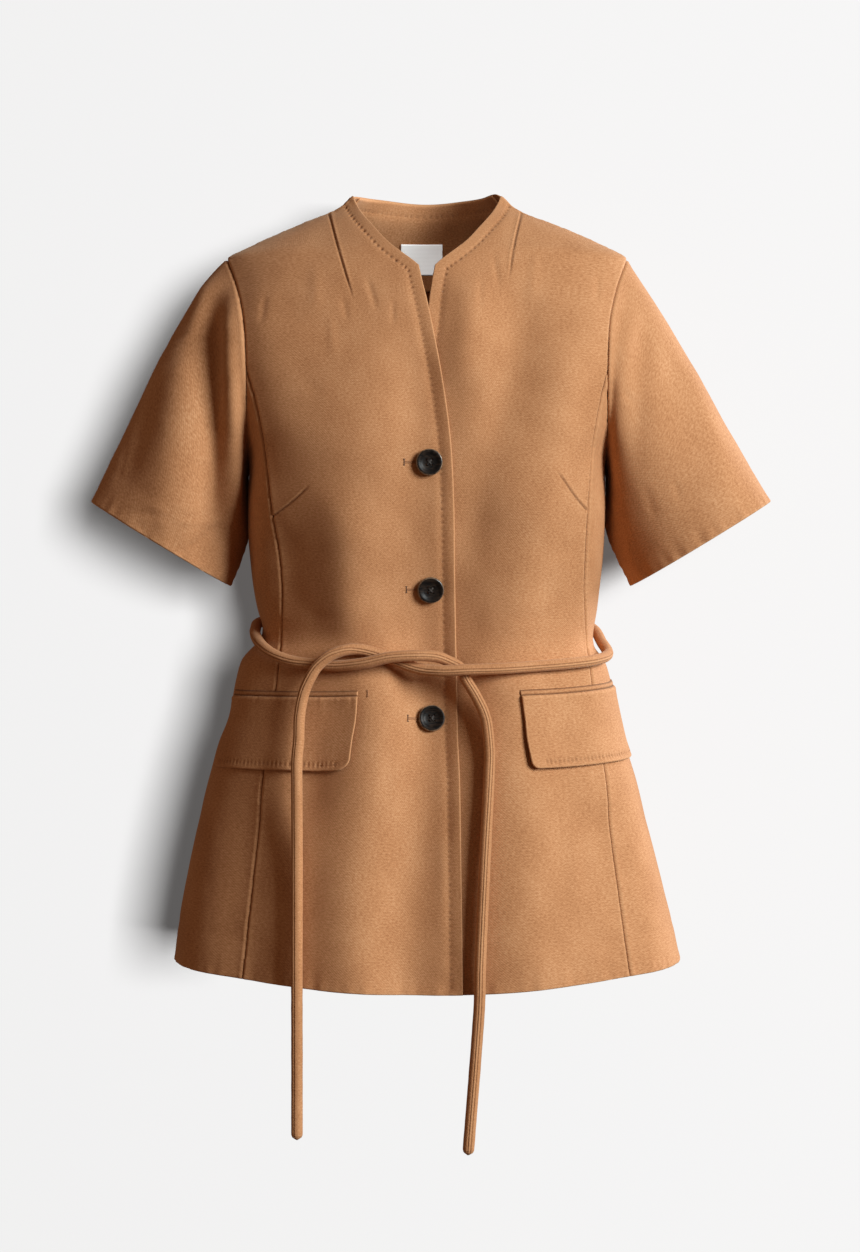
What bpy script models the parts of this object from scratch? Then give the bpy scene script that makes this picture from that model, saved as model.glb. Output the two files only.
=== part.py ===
"""Short-sleeved jacket with a tie belt, filled out as if worn.

Metres, +Z up. The front faces -Y and the wearer's right is at -X. The origin is the middle of the
neck, level with the neck ends of the shoulder seams, and heights are measured from it. A bearing is
an angle round the body, 0 at the centre front and growing towards +X.
"""

import math
from collections import namedtuple

import bmesh
import bpy
from mathutils import Vector

# Cloth and clearances
CLOTH = 0.0016
FLAP_CLOTH = 0.0020
LABEL_CLOTH = 0.0010
SEAM_GAP = 0.0003
ARMHOLE_GAP = 0.0009
LAID_GAP = 0.0010

# Heights of the main points
COLLAR_SIDE = 0.0225
COLLAR_RISE = 0.0047
COLLAR_SWELL = 0.0026
SHOULDER_TIP = -0.034
NECK_NOTCH = -0.049
SEAM_TOP = -0.140
ARMPIT = -0.215
WAIST_TOP = -0.350
HIP = -0.430
HEM_SIDE = -0.6612
HEM_FRONT_DROP = 0.0148
HEM_BACK_DROP = 0.0095
HEM_CURVE = 1.6

# The body tube: half its width, the x of its middle, its depths to the front and the back, and how
# square its corners are, at each height
Section = namedtuple("Section", "height half_width middle front back squareness")
SECTIONS = (
    Section(-0.6760, 0.2285, 0.0010, 0.1380, 0.1310, 2.3),
    Section(-0.6280, 0.2210, -0.0013, 0.1330, 0.1260, 2.3),
    Section(-0.5740, 0.2093, -0.0032, 0.1262, 0.1200, 2.3),
    Section(-0.5020, 0.1918, -0.0040, 0.1160, 0.1110, 2.3),
    Section(-0.4660, 0.1813, -0.0045, 0.1105, 0.1050, 2.3),
    Section(-0.4440, 0.1747, -0.0030, 0.1070, 0.1010, 2.3),
    Section(-0.4120, 0.1680, -0.0036, 0.1020, 0.0950, 2.3),
    Section(-0.3940, 0.1625, -0.0038, 0.0990, 0.0905, 2.3),
    Section(-0.3840, 0.1546, -0.0034, 0.0975, 0.0880, 2.3),
    Section(-0.3770, 0.1500, -0.0010, 0.0965, 0.0865, 2.3),
    Section(-0.3660, 0.1485, 0.0012, 0.0960, 0.0855, 2.3),
    Section(-0.3490, 0.1520, 0.0005, 0.0975, 0.0865, 2.3),
    Section(-0.3300, 0.1550, 0.0000, 0.1005, 0.0890, 2.3),
    Section(-0.3040, 0.1580, 0.0000, 0.1060, 0.0930, 2.3),
    Section(-0.2600, 0.1605, 0.0000, 0.1150, 0.1000, 2.3),
    Section(-0.2150, 0.1600, 0.0000, 0.1190, 0.1050, 2.3),
    Section(-0.1900, 0.1690, 0.0000, 0.1170, 0.1070, 2.3),
    Section(-0.1580, 0.1790, 0.0000, 0.1120, 0.1080, 2.3),
    Section(-0.1300, 0.1850, 0.0000, 0.1060, 0.1080, 2.3),
    Section(-0.0960, 0.1880, 0.0000, 0.0950, 0.1060, 2.2),
    Section(-0.0640, 0.1870, 0.0000, 0.0810, 0.1020, 2.0),
    Section(-0.0340, 0.1800, 0.0000, 0.0640, 0.0950, 1.8),
    Section(-0.0220, 0.1580, 0.0000, 0.0550, 0.0910, 1.7),
    Section(-0.0100, 0.1310, 0.0000, 0.0440, 0.0860, 1.7),
    Section(0.0000, 0.1075, 0.0000, 0.0340, 0.0810, 1.7),
    Section(0.0070, 0.0895, 0.0000, 0.0260, 0.0770, 1.7),
    Section(0.0140, 0.0775, 0.0000, 0.0180, 0.0730, 1.7),
    Section(0.0300, 0.0610, 0.0000, 0.0060, 0.0660, 1.8),
)

# Largest folds, on lines down the body between two bearings in degrees
Fold = namedtuple("Fold", "bearing_top top bearing_bottom bottom half_width rise")
FOLDS = (
    Fold(-44, -0.235, -44, -0.235, 0.060, 0.0060),
    Fold(44, -0.235, 44, -0.235, 0.060, 0.0060),
    Fold(3, -0.170, 8, -0.450, 0.034, -0.0060),
    Fold(-32, -0.500, -30, -0.680, 0.030, 0.0035),
    Fold(34, -0.500, 31, -0.680, 0.032, 0.0035),
    Fold(-62, -0.540, -60, -0.680, 0.026, -0.0040),
    Fold(62, -0.540, 60, -0.680, 0.026, -0.0040),
    Fold(180, -0.300, 180, -0.400, 0.040, -0.0050),
    Fold(158, -0.480, 155, -0.680, 0.032, 0.0045),
    Fold(202, -0.480, 205, -0.680, 0.032, 0.0045),
)

# Small steps along the surface, for its normals: up, and round in radians
STEP_UP = 0.002
STEP_ROUND = 0.01
# Edges sharper than this in degrees are not shaded smooth
SHARP_ANGLE = 50

# Seams and edges of the body, as (height, distance from the middle)
ARMHOLE = (
    (-0.215, 0.1600),
    (-0.191, 0.1585),
    (-0.158, 0.1573),
    (-0.130, 0.1580),
    (-0.096, 0.1610),
    (-0.064, 0.1685),
    (-0.034, 0.1800),
)
FRONT_SEAM = (
    (-0.676, 0.1720),
    (-0.580, 0.1605),
    (-0.531, 0.1547),
    (-0.485, 0.1485),
    (-0.420, 0.1388),
    (-0.380, 0.1348),
    (-0.340, 0.1334),
    (-0.310, 0.1335),
    (-0.270, 0.1350),
    (-0.235, 0.1375),
    (-0.200, 0.1420),
    (-0.175, 0.1475),
    (-0.155, 0.1530),
    (-0.140, 0.1577),
)
CENTRE_LEAN = ((-0.676, 0.0078), (-0.485, 0.0060), (-0.380, 0.0070), (-0.333, 0.0052), (-0.140, 0.0))
OVER_EDGE = (
    (-0.676, 0.0295),
    (-0.480, 0.0280),
    (-0.310, 0.0250),
    (-0.240, 0.0230),
    (-0.205, 0.0210),
    (-0.170, 0.0170),
    (-0.135, 0.0110),
    (-0.104, 0.0050),
    (-0.080, 0.0000),
    (-0.063, -0.0040),
    (-0.049, -0.0070),
)
UNDER_EDGE = (
    (-0.676, -0.0200),
    (-0.240, -0.0180),
    (-0.170, -0.0120),
    (-0.110, -0.0010),
    (-0.077, 0.0022),
    (-0.063, 0.0043),
    (-0.049, 0.0070),
)
NECKLINE = (
    (-0.049, 0.0070),
    (-0.044, 0.0123),
    (-0.036, 0.0220),
    (-0.025, 0.0345),
    (-0.009, 0.0475),
    (0.004, 0.0570),
    (0.016, 0.0635),
    (0.0225, 0.0658),
)
# The back seam of the side panels, as (height, bearing in degrees)
BACK_SEAM = ((-0.676, 120), (-0.500, 121), (-0.340, 122), (-0.215, 117))

# The lap of the left front under the right one
LAP_DEPTH = CLOTH + 0.0007
LAP_MARGIN = 0.004
LAP_BLEND = 0.030
LAP_TOP = -0.075

# Heights where the rows of the body's grid change, with the step from each one upwards
ROW_STOPS = (
    (HEM_SIDE, 0.027),
    (HIP, 0.0115),
    (WAIST_TOP, 0.023),
    (ARMPIT, 0.019),
    (SEAM_TOP, 0.0185),
    (NECK_NOTCH, 0.0075),
    (SHOULDER_TIP, 0.0082),
    (COLLAR_SIDE, None),
)
FRONT_COLUMNS = 8
SIDE_COLUMNS = 6
BACK_COLUMNS = 14

# Sleeves, drawn for the wearer's left: where each line from armhole to hem leaves and arrives
SLEEVE_COLUMNS = 20
SLEEVE_RINGS = (0.0, 0.035, 0.08, 0.13, 0.19, 0.27, 0.37, 0.48, 0.60, 0.73, 0.87, 1.0)
SLEEVE_HEM_TOP = Vector((0.3050, 0.0, -0.2520))
SLEEVE_HEM_UNDER = Vector((0.1823, 0.0, -0.3267))
SLEEVE_HEM_DEPTH = 0.057
SLEEVE_SWAY = 0.0033
TOP_LEAVE = {-1: Vector((0.030, 0.0, -0.016)), 1: Vector((0.018, 0.0, -0.022))}
UNDER_LEAVE = Vector((0.006, 0.0, -0.025))
TOP_ARRIVE = {-1: Vector((0.038, 0.0, -0.079)), 1: Vector((0.0445, 0.0, -0.079))}
UNDER_ARRIVE = Vector((0.018, 0.0, -0.037))
SLEEVE_SWELL = 0.008
# A trough beside the armhole seam, by its place between the seam and the hem
TROUGH_PLACE = 0.13
TROUGH_WIDTH = 0.07
TROUGH_DEPTH = {-1: 0.0050, 1: 0.0025}

# Facing and label inside the back neck
FACING_BOTTOM = NECK_NOTCH
LABEL_X = (-0.0252, 0.0148)
LABEL_Z = (-0.0338, -0.0060)
LABEL_COLUMNS = 4
LABEL_ROWS = 3

# Pocket flaps: the x of the inner top corner, the rise towards the outer end, and how far they stand off
Flap = namedtuple("Flap", "side inner_x outer_rise lift")
FLAPS = (Flap(-1, 0.0581, 0.0, 0.0015), Flap(1, 0.0786, 0.0085, 0.0030))
FLAP_TOP = -0.4250
FLAP_DEPTH = 0.0630
FLAP_WIDTH = 0.140
FLAP_CORNER = 0.014
FLAP_STEP = 0.0125
FLAP_ROWS = 5
WELT_DEPTH = 0.0050

# Buttons, as turned profiles, and where they sit on the right front
Button = namedtuple("Button", "name x height")
BUTTONS = (
    Button("button_top", 0.0023, -0.2237),
    Button("button_middle", 0.0036, -0.3329),
    Button("button_bottom", 0.0052, -0.4420),
)
BUTTON_RADIUS = 0.0115
BUTTON_STEPS = 20
BUTTON_PROFILE = (
    (0.0, 0.0024),
    (0.52, 0.0024),
    (0.66, 0.0034),
    (0.86, 0.0039),
    (0.97, 0.0033),
    (1.0, 0.0023),
    (0.96, 0.0008),
    (0.80, 0.0),
    (0.0, 0.0),
)
HOLE_RADIUS = 0.0011
HOLE_SPACING = 0.0042
HOLE_SIDES = 8
HOLE_DEPTH = 0.02

# Tie belt
BELT_DIAMETER = 0.0098
BELT_CLEARANCE = 0.0019
BELT_LAYER = BELT_DIAMETER + 0.0008
BELT_STEP = 0.021
# Places across the belt's thickness where it may touch the cloth
BELT_TOUCHES = (-0.9, -0.6, -0.3, 0.0, 0.3, 0.6, 0.9)
Wrap = namedtuple("Wrap", "bearing height")
Run = namedtuple("Run", "x height layer")
BELT_RIGHT_WRAP = (
    Wrap(-180, -0.352),
    Wrap(-150, -0.352),
    Wrap(-120, -0.354),
    Wrap(-100, -0.360),
    Wrap(-88, -0.3665),
    Wrap(-78, -0.3735),
)
BELT_RIGHT_RUN = (
    Run(-0.1435, -0.3818, 0),
    Run(-0.1320, -0.3889, 0),
    Run(-0.1150, -0.3944, 0),
    Run(-0.0970, -0.3963, 0),
    Run(-0.0752, -0.3978, 0.10),
    Run(-0.0536, -0.3955, 0.60),
    Run(-0.0320, -0.3905, 1),
    Run(-0.0109, -0.3890, 1),
    Run(0.0076, -0.3897, 0.60),
    Run(0.0203, -0.3945, 0.08),
    Run(0.0289, -0.4000, 0),
    Run(0.0335, -0.4096, 0),
    Run(0.0417, -0.4238, 0),
    Run(0.0488, -0.4409, 0),
    Run(0.0515, -0.4606, 0),
    Run(0.0523, -0.4780, 0),
    Run(0.0485, -0.5620, 0),
    Run(0.0448, -0.6500, 0),
    Run(0.0437, -0.6900, 0),
    Run(0.0347, -0.8085, 0),
)
BELT_LEFT_WRAP = (
    Wrap(180, -0.352),
    Wrap(150, -0.353),
    Wrap(120, -0.357),
    Wrap(103, -0.365),
    Wrap(90, -0.379),
    Wrap(82, -0.3885),
)
BELT_LEFT_RUN = (
    Run(0.1475, -0.3935, 0),
    Run(0.1226, -0.3963, 0),
    Run(0.0883, -0.3985, 0.20),
    Run(0.0594, -0.4002, 0.70),
    Run(0.0330, -0.4009, 1),
    Run(0.0150, -0.4018, 0.80),
    Run(-0.0020, -0.4010, 0.30),
    Run(-0.0130, -0.3985, 0.08),
    Run(-0.0280, -0.3926, 0),
    Run(-0.0464, -0.3858, 0.05),
    Run(-0.0606, -0.3835, 0.40),
    Run(-0.0719, -0.3850, 0.80),
    Run(-0.0832, -0.3896, 1),
    Run(-0.0934, -0.3982, 1),
    Run(-0.1006, -0.4097, 0.90),
    Run(-0.1057, -0.4225, 0.80),
    Run(-0.1090, -0.4408, 0.75),
    Run(-0.1095, -0.4607, 0.75),
    Run(-0.1109, -0.4780, 0.70),
    Run(-0.1108, -0.5000, 0.50),
    Run(-0.1103, -0.5600, 0),
    Run(-0.1097, -0.6500, 0),
    Run(-0.1097, -0.6950, 0),
    Run(-0.1097, -0.7978, 0),
)

# Finishes: linear colour and roughness
CAMEL = ((0.42, 0.20, 0.08, 1.0), 0.85)
HORN = ((0.012, 0.010, 0.009, 1.0), 0.30)
WHITE = ((0.80, 0.80, 0.78, 1.0), 0.70)


def smooth(points, at):
    """Value at a key on the smooth curve through (key, value) points, held level past both ends."""
    if at <= points[0][0]:
        return points[0][1]
    if at >= points[-1][0]:
        return points[-1][1]
    index = max(i for i, point in enumerate(points) if point[0] <= at)
    (start, low), (end, high) = points[index], points[index + 1]
    span = end - start

    def slope(i):
        before, after = points[max(i - 1, 0)], points[min(i + 1, len(points) - 1)]
        return (after[1] - before[1]) / (after[0] - before[0]) * span

    t = (at - start) / span
    rise, settle = t * t * (3 - 2 * t), t * t * (t - 1)
    return low + (high - low) * rise + slope(index) * t * (1 - t) ** 2 + slope(index + 1) * settle


def ease(value, start, end):
    """0 before start, 1 past end, and a soft step between them."""
    t = min(max((value - start) / (end - start), 0.0), 1.0)
    return t * t * (3 - 2 * t)


WIDTHS = [(row.height, row.half_width) for row in SECTIONS]
FRONTS = [(row.height, row.front) for row in SECTIONS]
BACKS = [(row.height, row.back) for row in SECTIONS]
MIDDLES = [(row.height, row.middle) for row in SECTIONS]
SQUARES = [(row.height, row.squareness) for row in SECTIONS]


def depth_at(height, x, back=False):
    """Depth of the body tube at an x."""
    across = min(abs(x - smooth(MIDDLES, height)) / smooth(WIDTHS, height), 1.0)
    reach = smooth(BACKS if back else FRONTS, height)
    square = smooth(SQUARES, height)
    return reach * (1 - across**square) ** (1 / square)


def front_bearing(height, x):
    return math.atan2(x - smooth(MIDDLES, height), depth_at(height, x))


def radius_at(height, bearing, grown=0.0):
    """Distance of the body tube from its middle along a bearing, or of that tube grown all round."""
    forward = math.cos(bearing)
    depth = smooth(FRONTS if forward > 0 else BACKS, height) + grown
    across = abs(math.sin(bearing)) / (smooth(WIDTHS, height) + grown)
    square = smooth(SQUARES, height)
    return (across**square + (abs(forward) / depth) ** square) ** (-1 / square)


def fold_rise(height, bearing):
    total = 0.0
    for fold in FOLDS:
        span = max(fold.top - fold.bottom, 1e-6)
        down = min(max((fold.top - height) / span, 0.0), 1.0)
        line = math.radians(fold.bearing_top + (fold.bearing_bottom - fold.bearing_top) * down)
        turn = math.remainder(bearing - line, math.tau)
        across = turn * radius_at(height, bearing)
        beyond = max(height - fold.top, fold.bottom - height, 0.0)
        total += fold.rise * math.exp(-(across**2 + beyond**2) / fold.half_width**2)
    return total


def tube_point(height, bearing):
    radius = radius_at(height, bearing) + fold_rise(height, bearing)
    x = smooth(MIDDLES, height) + radius * math.sin(bearing)
    return Vector((x, -radius * math.cos(bearing), height))


def body_point(height, bearing, out=0.0):
    """A point of the body's outer cloth, moved out along its normal."""
    point = tube_point(height, bearing)
    if out:
        across = tube_point(height, bearing + STEP_ROUND) - tube_point(height, bearing - STEP_ROUND)
        along = tube_point(height + STEP_UP, bearing) - tube_point(height - STEP_UP, bearing)
        point += across.cross(along).normalized() * out
    return point


def hem_drop(height, bearing):
    """How far the hem's curve lowers a row, fading out towards the hip."""
    drop = HEM_FRONT_DROP if math.cos(bearing) > 0 else HEM_BACK_DROP
    return drop * abs(math.cos(bearing)) ** HEM_CURVE * (1 - ease(height, HEM_SIDE, HIP))


def ladder(stops):
    """Row heights that meet every stop, with even steps between two stops."""
    heights = []
    for (low, step), (high, _) in zip(stops, stops[1:]):
        count = max(1, math.ceil((high - low) / step - 0.01))
        heights += [low + (high - low) * i / count for i in range(count)]
    return heights + [stops[-1][0]]


ROWS = ladder(ROW_STOPS)


def armhole_bearing(height, back=False):
    x = smooth(ARMHOLE, height)
    depth = depth_at(height, x, back)
    return math.atan2(x, -depth if back else depth)


def seam_gap_angle(height, bearing):
    return SEAM_GAP / 2 / radius_at(height, bearing)


def front_outer_edge(height, side):
    """Bearing, without its sign, of a front's outer edge: princess seam, armhole, then shoulder seam."""
    if height > SHOULDER_TIP:
        bearing = math.pi / 2
    elif height > SEAM_TOP:
        return armhole_bearing(height)
    else:
        x = side * smooth(FRONT_SEAM, height) + smooth(CENTRE_LEAN, height)
        bearing = side * front_bearing(height, x)
    return bearing - seam_gap_angle(height, bearing)


def front_inner_edge(height, side):
    """Bearing of a front's neckline and centre edge."""
    if height >= NECK_NOTCH:
        x = side * smooth(NECKLINE, height)
    else:
        x = smooth(OVER_EDGE if side < 0 else UNDER_EDGE, height)
    return front_bearing(height, x)


def back_outer_edge(height):
    if height > SHOULDER_TIP:
        bearing = math.pi / 2
    elif height > SEAM_TOP:
        return armhole_bearing(height, back=True)
    else:
        top = (SEAM_TOP, math.degrees(armhole_bearing(SEAM_TOP, back=True)))
        bearing = math.radians(smooth((*BACK_SEAM, top), height))
    return bearing + seam_gap_angle(height, bearing)


def lap_inset(height, bearing):
    """How far the left front lies in behind the right one."""
    x = smooth(MIDDLES, height) + radius_at(height, bearing) * math.sin(bearing)
    edge = smooth(OVER_EDGE, height)
    beside = 1 - ease(x, edge + LAP_MARGIN, edge + LAP_MARGIN + LAP_BLEND)
    return LAP_DEPTH * beside * (1 - ease(height, LAP_TOP, NECK_NOTCH))


def side_top(side, share):
    """Height of the armhole's lower edge on a side panel, at a share of the way to the back seam."""
    def between(height):
        front = front_outer_edge(height, side)
        return front + (back_outer_edge(height) - front) * share

    back = between(ARMPIT) > math.pi / 2
    low, high = ARMPIT, SEAM_TOP
    for _ in range(40):
        middle = (low + high) / 2
        beyond = between(middle) - armhole_bearing(middle, back)
        if (beyond > 0) == back:
            low = middle
        else:
            high = middle
    return low


def make_material(name, finish):
    colour, roughness = finish
    material = bpy.data.materials.new(name)
    material.use_nodes = True
    shader = material.node_tree.nodes["Principled BSDF"]
    shader.inputs["Base Color"].default_value = colour
    shader.inputs["Roughness"].default_value = roughness
    shader.inputs["Metallic"].default_value = 0.0
    return material


def add_object(name, data, material):
    obj = bpy.data.objects.new(name, data)
    data.materials.append(material)
    jacket.objects.link(obj)
    return obj


def cloth_piece(name, columns, rows, place, material, thickness=CLOTH):
    """A piece of cloth: a grid whose points place(column, row, out) sets, extruded inwards into a wall."""
    bm = bmesh.new()
    bmesh.ops.create_grid(bm, x_segments=columns, y_segments=rows, size=0.5)
    column_of = bm.verts.layers.int.new("column")
    row_of = bm.verts.layers.int.new("row")
    for vert in bm.verts:
        vert[column_of] = round((vert.co.x + 0.5) * columns)
        vert[row_of] = round((vert.co.y + 0.5) * rows)
        vert.co = place(vert[column_of], vert[row_of], 0.0)
    bmesh.ops.remove_doubles(bm, verts=bm.verts, dist=1e-5)
    wall = bmesh.ops.extrude_face_region(bm, geom=bm.faces[:], use_keep_orig=True)
    for item in wall["geom"]:
        if isinstance(item, bmesh.types.BMVert):
            item.co = place(item[column_of], item[row_of], -thickness)
    bmesh.ops.triangulate(bm, faces=bm.faces[:], quad_method="SHORT_EDGE")
    bmesh.ops.recalc_face_normals(bm, faces=bm.faces)
    mesh = bpy.data.meshes.new(name)
    bm.to_mesh(mesh)
    bm.free()
    mesh.shade_smooth()
    mesh.set_sharp_from_angle(angle=math.radians(SHARP_ANGLE))
    add_object(name, mesh, material)


def make_front(name, side, material):
    def place(column, row, out):
        height = ROWS[row]
        outer = side * front_outer_edge(height, side)
        inner = front_inner_edge(height, side)
        low, high = min(outer, inner), max(outer, inner)
        bearing = low + (high - low) * column / FRONT_COLUMNS
        inset = lap_inset(height, bearing) if side > 0 else 0.0
        return body_point(height - hem_drop(height, bearing), bearing, out - inset)

    cloth_piece(name, FRONT_COLUMNS, len(ROWS) - 1, place, material)


def make_side(name, side, material):
    rows = [height for height in ROWS if height <= SEAM_TOP + 1e-6]
    tops = [side_top(side, column / SIDE_COLUMNS) for column in range(SIDE_COLUMNS + 1)]
    tops[0] = tops[-1] = SEAM_TOP

    def place(column, row, out):
        across = column if side > 0 else SIDE_COLUMNS - column
        share = across / SIDE_COLUMNS
        height = rows[row]
        if height > WAIST_TOP:
            height = WAIST_TOP + (height - WAIST_TOP) * (tops[across] - WAIST_TOP) / (SEAM_TOP - WAIST_TOP)
        front = front_outer_edge(height, side) + 2 * seam_gap_angle(height, math.pi / 2)
        back = back_outer_edge(height) - 2 * seam_gap_angle(height, math.pi / 2)
        bearing = side * (front + (back - front) * share)
        return body_point(height - hem_drop(height, bearing), bearing, out)

    cloth_piece(name, SIDE_COLUMNS, len(rows) - 1, place, material)


def back_point(column, row, out):
    height = ROWS[row]
    edge = back_outer_edge(height)
    bearing = edge + (math.tau - 2 * edge) * column / BACK_COLUMNS
    rise = COLLAR_RISE * math.cos(bearing) ** 2 + COLLAR_SWELL * abs(math.sin(2 * bearing))
    rise *= ease(height, SHOULDER_TIP, COLLAR_SIDE)
    return body_point(height + rise - hem_drop(height, bearing), bearing, out)


def make_back(name, material):
    cloth_piece(name, BACK_COLUMNS, len(ROWS) - 1, back_point, material)


def make_neck_facing(name, material):
    """The facing takes the back's own points, one column in from the shoulder seams, moved inwards."""
    first = ROWS.index(FACING_BOTTOM)

    def place(column, row, out):
        return back_point(column + 1, row + first, out - CLOTH - LAID_GAP)

    cloth_piece(name, BACK_COLUMNS - 2, len(ROWS) - 1 - first, place, material)


def sleeve_point(side, turn, along):
    """A point of a sleeve: turn goes round it from the shoulder to the front, along runs to the hem."""
    middle = (SHOULDER_TIP + ARMPIT) / 2
    forward, upward = math.sin(turn), math.cos(turn)
    height = middle + (SHOULDER_TIP - middle) * upward
    x = smooth(ARMHOLE, height)
    depth = depth_at(height, x, back=forward < 0)
    start = Vector((x + ARMHOLE_GAP, -math.copysign(depth, forward), height))
    top_share = (1 + upward) / 2
    end = SLEEVE_HEM_UNDER.lerp(SLEEVE_HEM_TOP, top_share)
    end += Vector((side * SLEEVE_SWAY, -SLEEVE_HEM_DEPTH * forward, 0.0))
    leave = UNDER_LEAVE.lerp(TOP_LEAVE[side], top_share) - Vector((0.0, SLEEVE_SWELL * forward, 0.0))
    first = start + leave
    second = end - UNDER_ARRIVE.lerp(TOP_ARRIVE[side], top_share)
    rest = 1 - along
    point = start * rest**3 + first * 3 * rest**2 * along + second * 3 * rest * along**2 + end * along**3
    trough = math.exp(-(((along - TROUGH_PLACE) / TROUGH_WIDTH) ** 2)) * max(forward, 0.0) ** 2
    point.y += TROUGH_DEPTH[side] * trough
    return Vector((side * point.x, point.y, point.z))


def make_sleeve(name, side, material):
    def place(column, row, out):
        turn = math.tau * (column % SLEEVE_COLUMNS) / SLEEVE_COLUMNS
        along = SLEEVE_RINGS[row]
        point = sleeve_point(side, turn, along)
        if out:
            ahead = sleeve_point(side, turn + STEP_ROUND, along)
            behind = sleeve_point(side, turn - STEP_ROUND, along)
            down = sleeve_point(side, turn, along + STEP_ROUND) - point
            point += (ahead - behind).cross(down).normalized() * out * side
        return point

    cloth_piece(name, SLEEVE_COLUMNS, len(SLEEVE_RINGS) - 1, place, material)


def make_label(name, material):
    def place(column, row, out):
        x = LABEL_X[1] + (LABEL_X[0] - LABEL_X[1]) * column / LABEL_COLUMNS
        height = LABEL_Z[0] + (LABEL_Z[1] - LABEL_Z[0]) * row / LABEL_ROWS
        bearing = math.pi - math.atan2(x, depth_at(height, x, back=True))
        return body_point(height, bearing, out - 2 * (CLOTH + LAID_GAP))

    cloth_piece(name, LABEL_COLUMNS, LABEL_ROWS, place, material, thickness=LABEL_CLOTH)


def bearing_after(height, side, start, length):
    """The bearing, without its sign, that lies a length of cloth further round one side of the body."""
    step, walked, bearing = math.radians(0.25), 0.0, start
    while walked < length:
        before = tube_point(height, side * bearing)
        bearing += step
        walked += (tube_point(height, side * bearing) - before).length
    return bearing


def flap_stations():
    """Places along a flap's width, closer at the round corners, as distances from the inner end."""
    corner = [FLAP_CORNER * (1 - math.cos(math.radians(turn))) for turn in (0, 30, 60, 90)]
    plain = FLAP_WIDTH - 2 * FLAP_CORNER
    count = math.ceil(plain / FLAP_STEP)
    middle = [FLAP_CORNER + plain * i / count for i in range(1, count)]
    return corner + middle + [FLAP_WIDTH - place for place in reversed(corner)]


def make_pocket(flap, suffix, material):
    """A pocket's flap and the welt above it, both laid on the front and side panels."""
    stations = flap_stations()
    start = flap.side * front_bearing(FLAP_TOP, flap.side * flap.inner_x)
    bearings = [bearing_after(FLAP_TOP, flap.side, start, place) for place in stations]
    last = len(stations) - 1

    def raised(column):
        return flap.outer_rise * stations[column] / FLAP_WIDTH

    def station(column):
        return column if flap.side > 0 else last - column

    def place_flap(column, row, out):
        column = station(column)
        from_end = min(stations[column], FLAP_WIDTH - stations[column], FLAP_CORNER)
        rounding = FLAP_CORNER - math.sqrt(FLAP_CORNER**2 - (FLAP_CORNER - from_end) ** 2)
        depth = (FLAP_DEPTH - rounding) * (1 - row / FLAP_ROWS)
        lifted = flap.lift * depth / FLAP_DEPTH * (1 - ease(stations[column], 0.0, FLAP_WIDTH))
        out += LAID_GAP + FLAP_CLOTH + lifted
        return body_point(FLAP_TOP + raised(column) - depth, flap.side * bearings[column], out)

    def place_welt(column, row, out):
        column = station(column)
        height = FLAP_TOP + SEAM_GAP + raised(column) + WELT_DEPTH * row
        return body_point(height, flap.side * bearings[column], out + LAID_GAP + CLOTH)

    cloth_piece("flap_" + suffix, last, FLAP_ROWS, place_flap, material, FLAP_CLOTH)
    cloth_piece("welt_" + suffix, last, 1, place_welt, material)


def button_mesh():
    bm = bmesh.new()
    verts = [bm.verts.new((share * BUTTON_RADIUS, 0.0, height)) for share, height in BUTTON_PROFILE]
    for upper, lower in zip(verts, verts[1:]):
        bm.edges.new((upper, lower))
    mesh = bpy.data.meshes.new("button_profile")
    bm.to_mesh(mesh)
    bm.free()
    return mesh


def holes_mesh():
    bm = bmesh.new()
    for corner in range(4):
        turn = math.radians(45 + 90 * corner)
        made = bmesh.ops.create_cone(
            bm,
            cap_ends=True,
            segments=HOLE_SIDES,
            radius1=HOLE_RADIUS,
            radius2=HOLE_RADIUS,
            depth=HOLE_DEPTH,
        )
        place = Vector((math.cos(turn), math.sin(turn), 0.0)) * HOLE_SPACING / math.sqrt(2)
        bmesh.ops.translate(bm, verts=made["verts"], vec=place)
    mesh = bpy.data.meshes.new("button_holes")
    bm.to_mesh(mesh)
    bm.free()
    return mesh


def make_button(button, profile, holes, material):
    bearing = front_bearing(button.height, button.x)
    seat = body_point(button.height, bearing, LAID_GAP)
    facing = seat - body_point(button.height, bearing)
    obj = add_object(button.name, profile.copy(), material)
    obj.location = seat
    obj.rotation_euler = facing.to_track_quat("Z", "Y").to_euler()
    turned = obj.modifiers.new("turned", "SCREW")
    turned.steps = turned.render_steps = BUTTON_STEPS
    turned.use_merge_vertices = True
    turned.merge_threshold = 1e-5
    cutter = bpy.data.objects.new(button.name + "_holes", holes)
    cutter.location = obj.location
    cutter.rotation_euler = obj.rotation_euler
    cutter.hide_render = True
    cutter.display_type = "WIRE"
    cutters.objects.link(cutter)
    drilled = obj.modifiers.new("drilled", "BOOLEAN")
    drilled.operation = "DIFFERENCE"
    drilled.object = cutter


def belt_point(bearing, height, layer):
    """Centre of the belt where it lies on the body, or a layer out on the belt's other half."""
    held = max(height, HEM_SIDE - HEM_FRONT_DROP)
    reach = BELT_DIAMETER / 2 + BELT_CLEARANCE
    radius = 0.0
    for share in BELT_TOUCHES:
        touched = held + share * reach
        out = reach * math.sqrt(1 - share**2) + layer * BELT_LAYER + max(fold_rise(touched, bearing), 0.0)
        radius = max(radius, radius_at(touched, bearing, out))
    x = smooth(MIDDLES, held) + radius * math.sin(bearing)
    return Vector((x, -radius * math.cos(bearing), height))


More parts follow.
